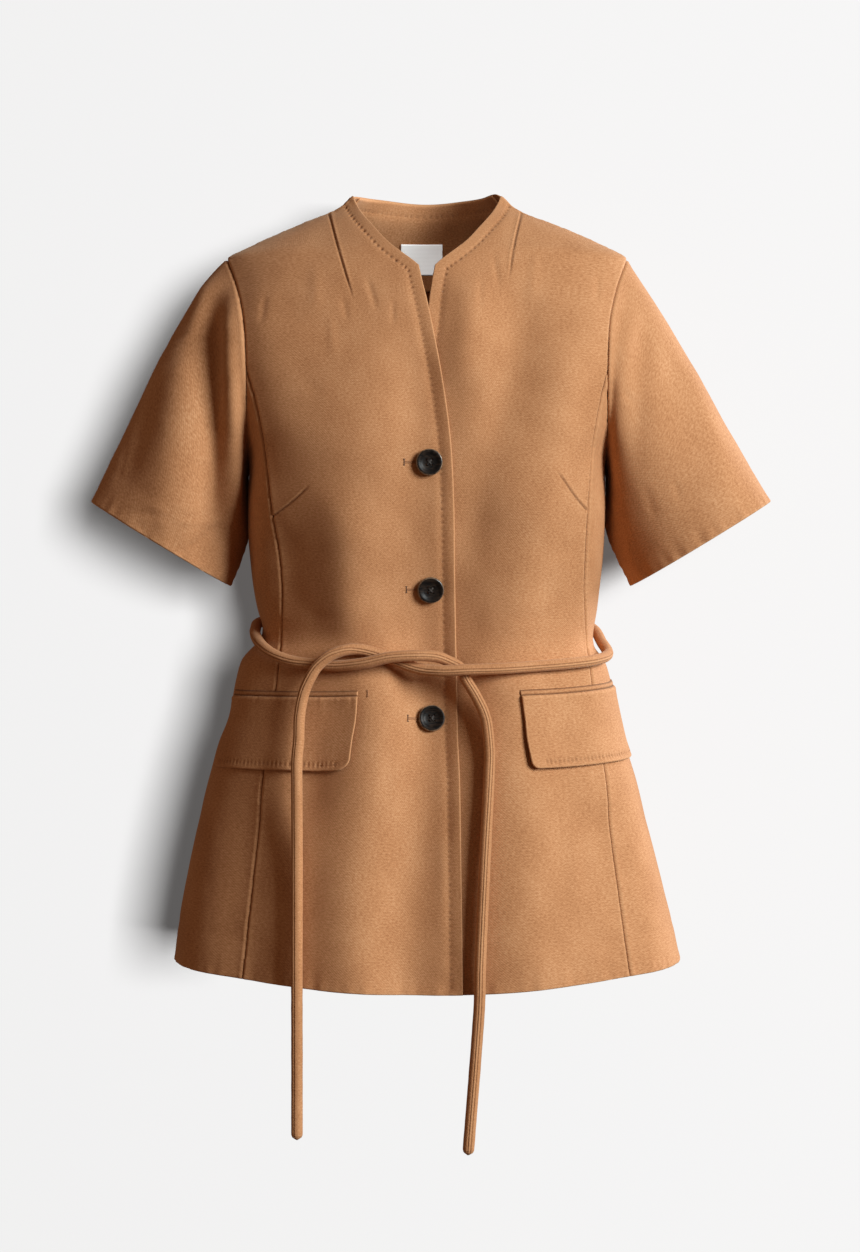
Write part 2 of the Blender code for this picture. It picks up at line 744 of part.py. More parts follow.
def belt_route(wrap, run):
    """Route points of one half of the belt, from the centre back to its free end."""
    points = [belt_point(math.radians(row.bearing), row.height, 0) for row in wrap]
    for row in run:
        held = max(row.height, HEM_SIDE - HEM_FRONT_DROP)
        bearing = front_bearing(held, row.x)
        for _ in range(24):
            bearing += (row.x - belt_point(bearing, row.height, row.layer).x) / radius_at(held, bearing)
        points.append(belt_point(bearing, row.height, row.layer))
    return points


def through(points, step):
    """Points about a step apart on the smooth curve through the given ones."""
    ends = [2 * points[0] - points[1]] + points + [2 * points[-1] - points[-2]]
    path = [points[0]]
    for before, start, end, after in zip(ends, ends[1:], ends[2:], ends[3:]):
        span = (end - start).length
        leave = (end - before) / (span + (start - before).length) * span
        arrive = (after - start) / (span + (after - end).length) * span
        count = max(1, round(span / step))
        for i in range(1, count + 1):
            t = i / count
            rise, settle = t * t * (3 - 2 * t), t * t * (t - 1)
            path.append(start + (end - start) * rise + leave * t * (1 - t) ** 2 + arrive * settle)
    return path


def make_belt(name, wrap, run, material):
    route = belt_route(wrap, run)
    route[0].x += math.copysign(SEAM_GAP / 2, run[0].x)
    curve = bpy.data.curves.new(name, "CURVE")
    curve.dimensions = "3D"
    curve.bevel_depth = BELT_DIAMETER / 2
    curve.bevel_resolution = 2
    curve.use_fill_caps = True
    path = through(route, BELT_STEP)
    spline = curve.splines.new("POLY")
    spline.points.add(len(path) - 1)
    for point, place in zip(spline.points, path):
        point.co = (*place, 1.0)
    add_object(name, curve, material)


for old in list(bpy.data.objects):
    bpy.data.objects.remove(old, do_unlink=True)
jacket = bpy.data.collections.new("short_sleeved_jacket")
cutters = bpy.data.collections.new("cutters")
bpy.context.scene.collection.children.link(jacket)
bpy.context.scene.collection.children.link(cutters)

camel = make_material("camel_twill", CAMEL)
horn = make_material("dark_horn", HORN)
white = make_material("white_tape", WHITE)

make_front("front_right", -1, camel)
make_front("front_left", 1, camel)
make_side("side_right", -1, camel)
make_side("side_left", 1, camel)
make_back("back", camel)
make_sleeve("sleeve_right", -1, camel)
make_sleeve("sleeve_left", 1, camel)
make_neck_facing("neck_facing", camel)
make_label("label", white)
for flap_row, flap_name in zip(FLAPS, ("right", "left")):
    make_pocket(flap_row, flap_name, camel)
turned_profile, drilled_holes = button_mesh(), holes_mesh()
for button_row in BUTTONS:
    make_button(button_row, turned_profile, drilled_holes, horn)
make_belt("belt_right", BELT_RIGHT_WRAP, BELT_RIGHT_RUN, camel)
make_belt("belt_left", BELT_LEFT_WRAP, BELT_LEFT_RUN, camel)
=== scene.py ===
"""Looks of the short-sleeved jacket: a fine shell for each cloth piece, with its folds, seams and
stitching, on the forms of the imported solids, and the buttons, label and tie belt.

Metres, +Z up. The front faces -Y and the wearer's right is at -X. Heights are measured from the neck
ends of the shoulder seams. A bearing is an angle round the body, 0 at the centre front and growing
towards +X. The tables of the body, sleeves, pockets and belt repeat those of the part's source.
"""

import math
from collections import namedtuple

import bmesh
import bpy
import numpy as np
from mathutils import Matrix, Vector
from mathutils.kdtree import KDTree


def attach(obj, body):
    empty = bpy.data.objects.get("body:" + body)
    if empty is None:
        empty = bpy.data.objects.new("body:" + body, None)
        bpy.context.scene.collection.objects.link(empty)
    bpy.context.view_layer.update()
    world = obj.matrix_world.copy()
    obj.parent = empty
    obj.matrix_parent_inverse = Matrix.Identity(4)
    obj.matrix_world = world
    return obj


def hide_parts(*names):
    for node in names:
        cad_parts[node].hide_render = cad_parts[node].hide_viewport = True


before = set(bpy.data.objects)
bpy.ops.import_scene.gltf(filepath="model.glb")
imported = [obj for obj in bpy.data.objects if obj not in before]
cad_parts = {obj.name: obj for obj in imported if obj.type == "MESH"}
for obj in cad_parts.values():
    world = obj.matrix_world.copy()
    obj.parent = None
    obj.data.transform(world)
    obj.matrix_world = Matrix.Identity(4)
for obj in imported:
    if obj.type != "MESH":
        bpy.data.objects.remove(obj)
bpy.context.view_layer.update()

BODY = "root"

# Cloth
CLOTH = 0.0016
FLAP_CLOTH = 0.0020
LABEL_CLOTH = 0.0006
LABEL_GAP = 0.0004
LAID_GAP = 0.0010
FACING_GAP = 0.0001
ARMHOLE_TUCK = 0.0006

# Heights of the main points
COLLAR_SIDE = 0.0225
COLLAR_RISE = 0.0047
COLLAR_SWELL = 0.0026
COLLAR_LIFT = {-1: 0.0022, 1: 0.0045}
COLLAR_LIFT_AT = math.radians(76)
COLLAR_LIFT_WIDTH = math.radians(20)
COLLAR_LIFT_END = (math.radians(80), math.radians(90))
SHOULDER_TIP = -0.034
TIP_SHARE = 0.92
NECK_NOTCH = -0.049
SEAM_TOP = -0.140
ARMPIT = -0.215
WAIST_TOP = -0.350
HIP = -0.430
HEM_SIDE = -0.6612
HEM_FRONT_DROP = 0.0148
HEM_BACK_DROP = 0.0095
HEM_CURVE = 1.6

# The body tube at each height: half its width, the x of its middle, its depths to the front and the
# back, and how square its corners are
SECTIONS = (
    (-0.6760, 0.2285, 0.0010, 0.1380, 0.1310, 2.3),
    (-0.6280, 0.2210, -0.0013, 0.1330, 0.1260, 2.3),
    (-0.5740, 0.2093, -0.0032, 0.1262, 0.1200, 2.3),
    (-0.5020, 0.1918, -0.0040, 0.1160, 0.1110, 2.3),
    (-0.4660, 0.1813, -0.0045, 0.1105, 0.1050, 2.3),
    (-0.4440, 0.1747, -0.0030, 0.1070, 0.1010, 2.3),
    (-0.4120, 0.1680, -0.0036, 0.1020, 0.0950, 2.3),
    (-0.3940, 0.1625, -0.0038, 0.0990, 0.0905, 2.3),
    (-0.3840, 0.1546, -0.0034, 0.0975, 0.0880, 2.3),
    (-0.3770, 0.1500, -0.0010, 0.0965, 0.0865, 2.3),
    (-0.3660, 0.1485, 0.0012, 0.0960, 0.0855, 2.3),
    (-0.3490, 0.1520, 0.0005, 0.0975, 0.0865, 2.3),
    (-0.3300, 0.1550, 0.0000, 0.1005, 0.0890, 2.3),
    (-0.3040, 0.1580, 0.0000, 0.1060, 0.0930, 2.3),
    (-0.2600, 0.1605, 0.0000, 0.1150, 0.1000, 2.3),
    (-0.2150, 0.1600, 0.0000, 0.1190, 0.1050, 2.3),
    (-0.1900, 0.1690, 0.0000, 0.1170, 0.1070, 2.3),
    (-0.1580, 0.1790, 0.0000, 0.1120, 0.1080, 2.3),
    (-0.1300, 0.1850, 0.0000, 0.1060, 0.1080, 2.3),
    (-0.0960, 0.1880, 0.0000, 0.0950, 0.1060, 2.2),
    (-0.0640, 0.1870, 0.0000, 0.0810, 0.1020, 2.0),
    (-0.0340, 0.1800, 0.0000, 0.0640, 0.0950, 1.8),
    (-0.0220, 0.1580, 0.0000, 0.0550, 0.0910, 1.7),
    (-0.0100, 0.1310, 0.0000, 0.0440, 0.0860, 1.7),
    (0.0000, 0.1075, 0.0000, 0.0340, 0.0810, 1.7),
    (0.0070, 0.0895, 0.0000, 0.0260, 0.0770, 1.7),
    (0.0140, 0.0775, 0.0000, 0.0180, 0.0730, 1.7),
    (0.0300, 0.0610, 0.0000, 0.0060, 0.0660, 1.8),
)
WIDTHS, MIDDLES, FRONTS, BACKS, SQUARES = ([(row[0], row[i]) for row in SECTIONS] for i in range(1, 6))

# Largest folds, on lines down the body between two bearings in degrees
Fold = namedtuple("Fold", "bearing_top top bearing_bottom bottom half_width rise")
FOLDS = (
    Fold(-44, -0.235, -44, -0.235, 0.060, 0.0060),
    Fold(44, -0.235, 44, -0.235, 0.060, 0.0060),
    Fold(3, -0.170, 8, -0.450, 0.034, -0.0060),
    Fold(-32, -0.500, -30, -0.680, 0.030, 0.0035),
    Fold(34, -0.500, 31, -0.680, 0.032, 0.0035),
    Fold(-62, -0.540, -60, -0.680, 0.026, -0.0040),
    Fold(62, -0.540, 60, -0.680, 0.026, -0.0040),
    Fold(180, -0.300, 180, -0.400, 0.040, -0.0050),
    Fold(158, -0.480, 155, -0.680, 0.032, 0.0045),
    Fold(202, -0.480, 205, -0.680, 0.032, 0.0045),
)

# The chest is fuller beside the armholes than the tube is
CHEST_FILL = 0.0080
CHEST_FILL_X = 0.157
CHEST_FILL_SHARE = 0.97
CHEST_FILL_WIDTHS = (0.026, 0.042)
CHEST_FILL_WIDER = (-0.240, -0.180)
CHEST_FILL_START = (-0.375, -0.290)
CHEST_FILL_END = (-0.120, -0.030)
CHEST_FILL_TURN = 0.40

# Small steps along a surface, for its normals: up in metres, and round or along in shares
STEP_UP = 0.002
STEP_ROUND = 0.01

# Seams and edges of the body, as (height, distance from the middle)
ARMHOLE = (
    (-0.215, 0.1600), (-0.191, 0.1585), (-0.158, 0.1573), (-0.130, 0.1580), (-0.096, 0.1610),
    (-0.064, 0.1685), (-0.034, 0.1800),
)
FRONT_SEAM = (
    (-0.676, 0.1720), (-0.580, 0.1605), (-0.531, 0.1547), (-0.485, 0.1485), (-0.420, 0.1388),
    (-0.380, 0.1348), (-0.340, 0.1334), (-0.310, 0.1335), (-0.270, 0.1350), (-0.235, 0.1375),
    (-0.200, 0.1420), (-0.175, 0.1475), (-0.155, 0.1530), (-0.140, 0.1577),
)
CENTRE_LEAN = (
    (-0.676, 0.0078), (-0.485, 0.0060), (-0.380, 0.0070), (-0.333, 0.0052), (-0.140, 0.0),
)
OVER_EDGE = (
    (-0.676, 0.0295), (-0.480, 0.0280), (-0.310, 0.0250), (-0.240, 0.0230), (-0.205, 0.0210),
    (-0.170, 0.0170), (-0.135, 0.0110), (-0.104, 0.0050), (-0.080, 0.0000), (-0.063, -0.0040),
    (-0.049, -0.0070),
)
UNDER_EDGE = (
    (-0.676, -0.0200), (-0.240, -0.0180), (-0.170, -0.0120), (-0.110, -0.0010), (-0.077, 0.0022),
    (-0.063, 0.0043), (-0.049, 0.0070),
)
NECKLINE = (
    (-0.049, 0.0070), (-0.044, 0.0123), (-0.036, 0.0220), (-0.025, 0.0345), (-0.009, 0.0475),
    (0.004, 0.0570), (0.016, 0.0635), (0.0225, 0.0658),
)
# The back seam of the side panels, as (height, bearing in degrees)
BACK_SEAM = ((-0.676, 120), (-0.500, 121), (-0.340, 122), (-0.215, 117))

# The lap of the left front under the right one
LAP_DEPTH = CLOTH + 0.0007
LAP_MARGIN = 0.004
LAP_BLEND = 0.030
LAP_TOP = -0.075

# Sleeves, drawn for the wearer's left: where each line from armhole to hem leaves and arrives
SLEEVE_HEM_TOP = np.array((0.3050, 0.0, -0.2520))
SLEEVE_HEM_UNDER = np.array((0.1823, 0.0, -0.3267))
SLEEVE_HEM_DEPTH = 0.057
SLEEVE_SWAY = 0.0033
TOP_LEAVE = {-1: np.array((0.030, 0.0, -0.016)), 1: np.array((0.018, 0.0, -0.022))}
UNDER_LEAVE = np.array((0.006, 0.0, -0.025))
TOP_ARRIVE = {-1: np.array((0.038, 0.0, -0.079)), 1: np.array((0.0445, 0.0, -0.079))}
UNDER_ARRIVE = np.array((0.018, 0.0, -0.037))
SLEEVE_SWELL = 0.008
TROUGH_PLACE = 0.13
TROUGH_WIDTH = 0.07
TROUGH_DEPTH = {-1: 0.0010, 1: 0.0025}
# Where the underside of a sleeve sags against the body
UNDER_SAG = {-1: 0.0047, 1: 0.0085}
UNDER_SAG_PLACE = 0.58
UNDER_SAG_WIDTH = 0.27
UNDER_SAG_TURN = 0.7

# Facing and label inside the back neck
FACING_BOTTOM = NECK_NOTCH
FACING_SHARE = (1 / 14, 13 / 14)
LABEL_X = (-0.0252, 0.0148)
LABEL_Z = (-0.0338, -0.0060)

# Pocket flaps: the x of the inner top corner, the rise towards the outer end, how far they stand off,
# and the radius of their corners
Flap = namedtuple("Flap", "name side inner_x outer_rise lift corner")
FLAPS = (
    Flap("right", -1, 0.0581, 0.0, 0.0015, 0.010),
    Flap("left", 1, 0.0786, 0.0085, 0.0030, 0.0055),
)
FLAP_TOP = -0.4250
FLAP_DEPTH = 0.0630
FLAP_WIDTH = 0.140
FLAP_SETTLE = 0.0008
WELT_DEPTH = 0.0050
WELT_CLOTH = 0.0012
WELT_RISE = 0.0014

# Buttons and where they sit on the right front
Button = namedtuple("Button", "name x height")
BUTTONS = (
    Button("button_top", 0.0023, -0.2237),
    Button("button_middle", 0.0036, -0.3329),
    Button("button_bottom", 0.0052, -0.4420),
)
BUTTON_RADIUS = 0.0115

# Tie belt: wraps are (bearing, height) places round the body, and runs (x, height, layer) places on its
# front, where a layer is how far the belt lies out over its other half
BELT_DIAMETER = 0.0098
BELT_CLEARANCE = 0.0019
BELT_LAYER = BELT_DIAMETER + 0.0008
BELT_TOUCHES = (-0.9, -0.6, -0.3, 0.0, 0.3, 0.6, 0.9)
BELT_RIGHT_WRAP = (
    (-180, -0.352), (-150, -0.352), (-120, -0.354), (-100, -0.360), (-88, -0.3665), (-78, -0.3735),
)
BELT_RIGHT_RUN = (
    (-0.1435, -0.3818, 0), (-0.132, -0.3889, 0), (-0.115, -0.3944, 0), (-0.097, -0.3963, 0),
    (-0.0752, -0.3978, 0.1), (-0.0536, -0.3955, 0.6), (-0.032, -0.3905, 1), (-0.0109, -0.389, 1),
    (0.0076, -0.3897, 0.6), (0.0203, -0.3945, 0.08), (0.0289, -0.4, 0), (0.0335, -0.4096, 0),
    (0.0417, -0.4238, 0), (0.0488, -0.4409, 0), (0.0515, -0.4606, 0), (0.0523, -0.478, 0),
    (0.0485, -0.562, 0), (0.0448, -0.65, 0), (0.0437, -0.69, 0), (0.0347, -0.8085, 0),
)
BELT_LEFT_WRAP = (
    (180, -0.352), (150, -0.353), (120, -0.357), (103, -0.365), (90, -0.379), (82, -0.3885),
)
BELT_LEFT_RUN = (
    (0.1475, -0.3935, 0), (0.1226, -0.3963, 0), (0.0883, -0.3985, 0.2), (0.0594, -0.4002, 0.7),
    (0.033, -0.4009, 1), (0.015, -0.4018, 0.8), (-0.002, -0.401, 0.3), (-0.013, -0.3985, 0.08),
    (-0.028, -0.3926, 0), (-0.0464, -0.3858, 0.05), (-0.0606, -0.3835, 0.4), (-0.0719, -0.385, 0.8),
    (-0.0832, -0.3896, 1), (-0.0934, -0.3982, 1), (-0.1006, -0.4097, 0.9), (-0.1057, -0.4225, 0.8),
    (-0.109, -0.4408, 0.75), (-0.1095, -0.4607, 0.75), (-0.1109, -0.478, 0.7), (-0.1108, -0.5, 0.5),
    (-0.1103, -0.56, 0), (-0.1097, -0.65, 0), (-0.1097, -0.695, 0), (-0.1097, -0.7978, 0),
)

# Soft folds and creases of each face: how wide half of one is, how far it rises, or sinks where that is
# negative, and the (x, height) places that its line goes through
Crease = namedtuple("Crease", "half_width rise line")
CREASES = {
    "front": (
        # Crest down the right front, and the hollows beside the princess seam
        (0.026, 0.0092, ((-0.07, -0.235), (-0.065, -0.29), (-0.066, -0.35), (-0.05, -0.43))),
        (0.029, 0.0084, ((-0.06, -0.37), (-0.044, -0.45), (-0.046, -0.52), (-0.056, -0.59),
                         (-0.06, -0.72))),
        (0.02, -0.0034, ((-0.124, -0.265), (-0.122, -0.32), (-0.118, -0.37))),
        (0.026, -0.003, ((-0.136, -0.44), (-0.146, -0.54), (-0.15, -0.72))),
        # Hollow down the centre
        (0.026, -0.005, ((-0.004, -0.085), (-0.008, -0.15), (-0.012, -0.22), (-0.008, -0.4))),
        (0.024, -0.005, ((-0.1, -0.415), (-0.098, -0.47), (-0.101, -0.56))),
        (0.029, -0.0104, ((-0.009, -0.34), (-0.003, -0.43), (-0.012, -0.59), (-0.018, -0.72))),
        # Hollow of the left chest, the low crest inside it and the long crest outside it
        (0.022, -0.007, ((0.082, -0.05), (0.078, -0.12), (0.053, -0.215), (0.036, -0.33))),
        (0.016, 0.004, ((0.04, -0.04), (0.036, -0.11), (0.014, -0.18))),
        (0.024, 0.006, ((0.126, -0.1), (0.106, -0.225), (0.08, -0.335), (0.072, -0.44))),
        (0.034, 0.007, ((0.076, -0.37), (0.078, -0.45), (0.082, -0.54), (0.092, -0.72))),
        # Small creases of the chest, about the neck darts and by the armholes
        (0.003, -0.00085, ((-0.0537, -0.056), (-0.0415, -0.096))),
        (0.0026, -0.0006, ((-0.0294, -0.078), (-0.029, -0.108))),
        (0.0028, -0.00065, ((-0.0736, -0.076), (-0.068, -0.103))),
        (0.0035, 0.0006, ((-0.084, -0.09), (-0.079, -0.137))),
        (0.005, 0.0007, ((-0.099, -0.04), (-0.094, -0.098))),
        (0.0028, -0.0008, ((0.0573, -0.033), (0.0634, -0.074))),
        (0.003, -0.0006, ((0.047, -0.056), (0.045, -0.098))),
        (0.004, 0.0007, ((0.096, -0.03), (0.09, -0.09))),
        (0.0032, -0.0007, ((-0.141, -0.07), (-0.145, -0.105))),
        (0.003, -0.0007, ((0.152, -0.05), (0.148, -0.083))),
        (0.006, -0.00045, ((-0.113, -0.148), (-0.086, -0.168))),
        (0.006, -0.00045, ((0.125, -0.29), (0.096, -0.312))),
        # Small creases of the waist and skirt
        (0.006, -0.0006, ((-0.123, -0.342), (-0.088, -0.356), (-0.052, -0.352))),
        (0.0055, -0.0005, ((0.048, -0.35), (0.09, -0.358), (0.122, -0.348))),
        (0.007, 0.0006, ((-0.038, -0.335), (-0.042, -0.372))),
        (0.006, -0.0005, ((-0.03, -0.456), (-0.036, -0.53))),
        (0.008, -0.0006, ((-0.088, -0.535), (-0.096, -0.63))),
        (0.009, 0.0006, ((0.12, -0.515), (0.133, -0.63))),
        (0.007, -0.0005, ((0.098, -0.57), (0.104, -0.65))),
        (0.007, 0.0005, ((0.016, -0.53), (0.012, -0.63))),
    ),
    "back": (
        # Back: shoulder blades, the hollow between them, waist pulls and the skirt's flutes
        (0.03, 0.0045, ((-0.07, -0.11), (-0.074, -0.2), (-0.064, -0.275))),
        (0.03, 0.0045, ((0.072, -0.1), (0.077, -0.19), (0.07, -0.28))),
        (0.024, -0.005, ((0.004, -0.08), (0.0, -0.22), (-0.003, -0.33), (0.002, -0.44))),
        (0.026, 0.005, ((-0.058, -0.4), (-0.062, -0.54), (-0.074, -0.72))),
        (0.022, -0.005, ((-0.02, -0.43), (-0.026, -0.56), (-0.03, -0.72))),
        (0.028, 0.0055, ((0.04, -0.41), (0.048, -0.56), (0.052, -0.72))),
        (0.024, -0.004, ((0.098, -0.42), (0.106, -0.56), (0.112, -0.72))),
        (0.02, -0.003, ((-0.118, -0.44), (-0.124, -0.59), (-0.13, -0.72))),
        (0.0075, -0.001, ((-0.104, -0.318), (-0.07, -0.334), (-0.036, -0.33))),
        (0.0065, -0.0009, ((0.028, -0.326), (0.066, -0.336), (0.098, -0.322))),
        (0.007, -0.0008, ((-0.088, -0.376), (-0.05, -0.384))),
        (0.006, 0.0007, ((0.046, -0.372), (0.086, -0.38))),
        (0.006, -0.0008, ((-0.118, -0.105), (-0.104, -0.16))),
        (0.006, -0.0007, ((0.12, -0.096), (0.108, -0.15))),
    ),
    "sleeve_right": (
        # Right sleeve: a deep trough beside the armhole, a ridge outside it and short creases at the hem
        (0.013, -0.0085, ((-0.193, -0.062), (-0.19, -0.15), (-0.185, -0.236), (-0.178, -0.3))),
        (0.022, -0.006, ((-0.198, -0.08), (-0.192, -0.15), (-0.189, -0.236), (-0.187, -0.33))),
        (0.011, 0.0058, ((-0.1745, -0.055), (-0.1715, -0.15), (-0.169, -0.225), (-0.17, -0.29))),
        (0.031, 0.0096, ((-0.206, -0.09), (-0.215, -0.15), (-0.219, -0.2), (-0.222, -0.26),
                          (-0.22, -0.32))),
        (0.011, 0.0032, ((-0.195, -0.048), (-0.203, -0.085), (-0.214, -0.125))),
        (0.011, -0.0022, ((-0.239, -0.15), (-0.2525, -0.2), (-0.265, -0.232), (-0.278, -0.258))),
        (0.004, -0.0007, ((-0.264, -0.195), (-0.277, -0.245))),
        (0.0045, -0.001, ((-0.252, -0.27), (-0.246, -0.3))),
        (0.0045, -0.0009, ((-0.217, -0.29), (-0.213, -0.322))),
        (0.007, 0.0008, ((-0.235, -0.24), (-0.228, -0.315))),
    ),
    "sleeve_left": (
        # Left sleeve: a shallower trough, short diagonal creases and dents at the hem
        (0.011, -0.003, ((0.196, -0.075), (0.186, -0.15), (0.182, -0.23))),
        (0.02, 0.0026, ((0.226, -0.12), (0.25, -0.2), (0.262, -0.29))),
        (0.0035, -0.0007, ((0.168, -0.156), (0.182, -0.169))),
        (0.004, -0.0008, ((0.188, -0.235), (0.203, -0.276))),
        (0.0035, -0.0006, ((0.214, -0.233), (0.224, -0.256))),
        (0.0045, -0.0006, ((0.237, -0.276), (0.242, -0.3))),
        (0.004, -0.0004, ((0.208, -0.296), (0.213, -0.315))),
        (0.0045, 0.0008, ((0.176, -0.28), (0.186, -0.32))),
    ),
    "sleeve_right_back": (
        # Backs of the sleeves
        (0.011, -0.003, ((-0.188, -0.09), (-0.184, -0.17), (-0.178, -0.25))),
        (0.014, 0.002, ((-0.226, -0.15), (-0.236, -0.23), (-0.234, -0.29))),
        (0.0045, -0.0008, ((-0.206, -0.25), (-0.214, -0.3))),
    ),
    "sleeve_left_back": (
        (0.012, -0.0032, ((0.19, -0.085), (0.187, -0.165), (0.183, -0.24))),
        (0.015, 0.0022, ((0.232, -0.14), (0.246, -0.22), (0.248, -0.28))),
        (0.004, -0.0008, ((0.216, -0.24), (0.226, -0.285))),
    ),
}
SMALL_CREASE = 0.012
SMALL_CREASE_STEP = 0.6
SMALL_CREASE_REACH = 1.6
CREASE_FADE = 0.060
CREASE_FADE_SHARE = 0.4
CREASE_REACH = 3
# Under the belt a ridge is pressed flatter
BELT_LEVEL = -0.388
BELT_PRESS = 0.7
BELT_PRESS_REACH = 0.020

# Darts of the neck, then of the bust: how deep each is, the side of its lip, and its line through
# (x, height) places on the front from the seam to the tip
Dart = namedtuple("Dart", "panel depth lip line")
DARTS = (
    Dart("front_right", 0.0011, 1, ((-0.088, 0.006), (-0.078, -0.033), (-0.0632, -0.083))),
    Dart("front_left", 0.0009, -1, ((0.085, 0.0075), (0.0765, -0.03), (0.0711, -0.0645))),
    Dart("front_right", 0.001, -1, ((-0.132, -0.269), (-0.112, -0.256), (-0.0951, -0.2418))),
    Dart("front_left", 0.001, 1, ((0.137, -0.263), (0.119, -0.247), (0.1031, -0.2297))),
)

# Reliefs along seams, turned edges and stitch rows
SEAM_GROOVE = 0.0011
SEAM_WIDTH = 0.0011
SEAM_RIDGE = 0.00040
SEAM_RIDGE_AT = 0.0030
SEAM_RIDGE_WIDTH = 0.0018
SEAM_ALLOWANCE = 0.0095
ALLOWANCE_RISE = 0.00018
ALLOWANCE_EDGE = 0.002
# Beside a seam a light line is a painted highlight, and the dark line along its groove is painted shade.
SEAM_HIGHLIGHT = 0.45
SEAM_HIGHLIGHT_AT = 0.0020
SEAM_PAINTED_SHADE = 0.50
SEAM_PAINTED_SHADE_WIDTH = 0.0007
# The dark lines along a welt's edges are painted shade.
POCKET_GROOVE = 0.0006
POCKET_LINE = 0.0013
POCKET_PAINTED_SHADE = 1.0
PUCKER = 0.00018
PUCKER_LENGTH = 0.019
PUCKER_REACH = 0.0075
# Turned edges are painted lighter, partly as wear and partly as a painted highlight where they catch the
# light.
EDGE_WEAR_AND_HIGHLIGHT = 0.7
LIGHT_LINE_WIDTH = 0.0012
ROUND_SHARE = 0.47
# Relief deeper than this share of the cloth's thickness shows on its inside too
SINK_SHARE = 0.40
EDGE_ROLL = 0.00095
EDGE_PUFF = 0.00035
EDGE_PUFF_REACH = 0.0060
# Stitch rows: the distance from their edge, the step, the length left free at both ends, how far a
# dimple reaches across, and, each below the neck and at the neck, the depths of the dimples and of the
# trough along the row, and the painted shade of the dimples
Row = namedtuple("Row", "inset step margin reach dip trough dark")
LAP_ROW = Row(0.0105, 0.0058, 0.0, 0.0014, (0.00050, 0.00190), (0.00100, 0.00030), (0.24, 0.45))
NECK_ROW = Row(0.0115, 0.0050, 0.0, 0.0014, (0.00060, 0.00060), (0.00020, 0.00020), (0.30, 0.30))
FLAP_ROW = Row(0.0056, 0.0044, 0.012, 0.0022, (0.00085, 0.00085), (0.00010, 0.00010), (0.35, 0.35))
ROW_BLEND = 0.030
ROW_FADE = 0.006
STITCH_LENGTH = 0.0024
STITCH_SHARE = 0.6
STITCH_UNEVEN = 0.45
STITCH_UNEVEN_LENGTH = 0.023
STITCH_UNEVEN_SEED = 9
STITCH_SHIFT = 0.12
STITCH_SHIFT_LENGTH = 0.09
STITCH_SHIFT_SEED = 5
# The thread of a stitch: its places along the stitch, how far each stands out and how thick it is there
STITCH_PLACES = np.array((-0.62, -0.34, 0.0, 0.34, 0.62))
STITCH_LIFTS = np.array((-2.2, 0.4, 1.1, 0.4, -2.2))
STITCH_TAPER = np.array((0.5, 0.9, 1.0, 0.9, 0.5))
STITCH_PEAK = 0.8
STITCH_TROUGH_WIDTH = 0.0040
THREAD_RADIUS = 0.00018
THREAD_SIDES = 6
HEM_DEPTH = 0.034
HEM_TROUGH = 0.00025
HEM_PUCKER = 0.00045
HEM_PUCKER_LENGTH = 0.046
HEM_PUCKER_REACH = 0.016
DART_WIDTH = 0.0009
DART_FADE = 0.75
DART_LIP = 0.00035
DART_LIP_AT = 0.0021
DART_LIP_WIDTH = 0.0013
# A dart's lip gets a painted highlight and its groove painted shade.
DART_FAR_LIP = 0.15
DART_HIGHLIGHT = 0.20
DART_PAINTED_SHADE = 0.65

# Wanted lengths of the mesh's edges, and how far from a feature the finer ones reach
COARSE = 0.0040
MIDDLING = 0.0017
FINE = 0.0008
FINE_HIDDEN = 0.0011
FINE_REACH = 0.0021
MIDDLING_REACH = 0.0050
GRID_STEP = 1.4
REFINE_ROUNDS = 3
# A face with an edge this many times the wanted length is cut, on its edges past the second share of it
TOO_LONG = 1.5
WORTH_CUTTING = 0.8
STRAIGHT_CORNER = 0.01

# How finely curves are sampled, walked and searched
TINY = 1e-12
NEAR_UPRIGHT = 1e-3
SIDE_SAMPLES = 121
FLAP_SAMPLES = 800
FLAP_TURN = math.radians(100)
SLEEVE_SAMPLES = 120
EDGE_SAMPLES = 400
EDGE_STEP = 0.0008
CREASE_STEP = 0.004
DART_STEP = 0.001
SIDE_HALVINGS = 40
ROW_HALVINGS = 14
ROW_DEEPEST = 0.9
BELT_ROUNDS = 24

# Uneven waves: those along a line as shares of the longest, and those of free cloth as (length, height)
WANDER_SHARES = (1.0, 0.62, 0.41, 0.27)
WANDER_SIZE = 2.4
UNEVEN_WAVES = ((0.085, 0.00022), (0.055, 0.00018), (0.034, 0.00009), (0.018, 0.00004))
UNEVEN_COUNT = 5
UNEVEN_UPWARD = 0.6
UNEVEN_SEED = 11

# About the width and length of each panel laid flat
FRONT_SIZE = (0.19, 0.70)
SIDE_SIZE = (0.15, 0.52)
BACK_SIZE = (0.34, 0.70)
SLEEVE_SIZE = (0.40, 0.17)
FACING_SIZE = (0.30, 0.075)

# Camera and stage
CAMERA_PLACE = (0.0027, -2.2, -0.3636)
CAMERA_LENS = 70.29
SENSOR = 36.0
WALL_Y = 0.150
FLOOR_Z = -1.30
STAGE_SIZE = 14.0
# The wall and the floor: place, turn, grey and glow
STAGE_PLANES = {
    "wall": ((0.0, WALL_Y, 0.0), (math.pi / 2, 0.0, 0.0), 0.10, 0.10),
    "floor": ((0.0, 0.0, FLOOR_Z), (0.0, 0.0, 0.0), 0.80, 0.15),
}
WORLD_LIGHT = {"Color": (1.0, 0.62, 0.40, 1.0), "Strength": 0.118}
WORLD_SEEN = {"Color": (0.86, 0.86, 0.86, 1.0), "Strength": 1.0}
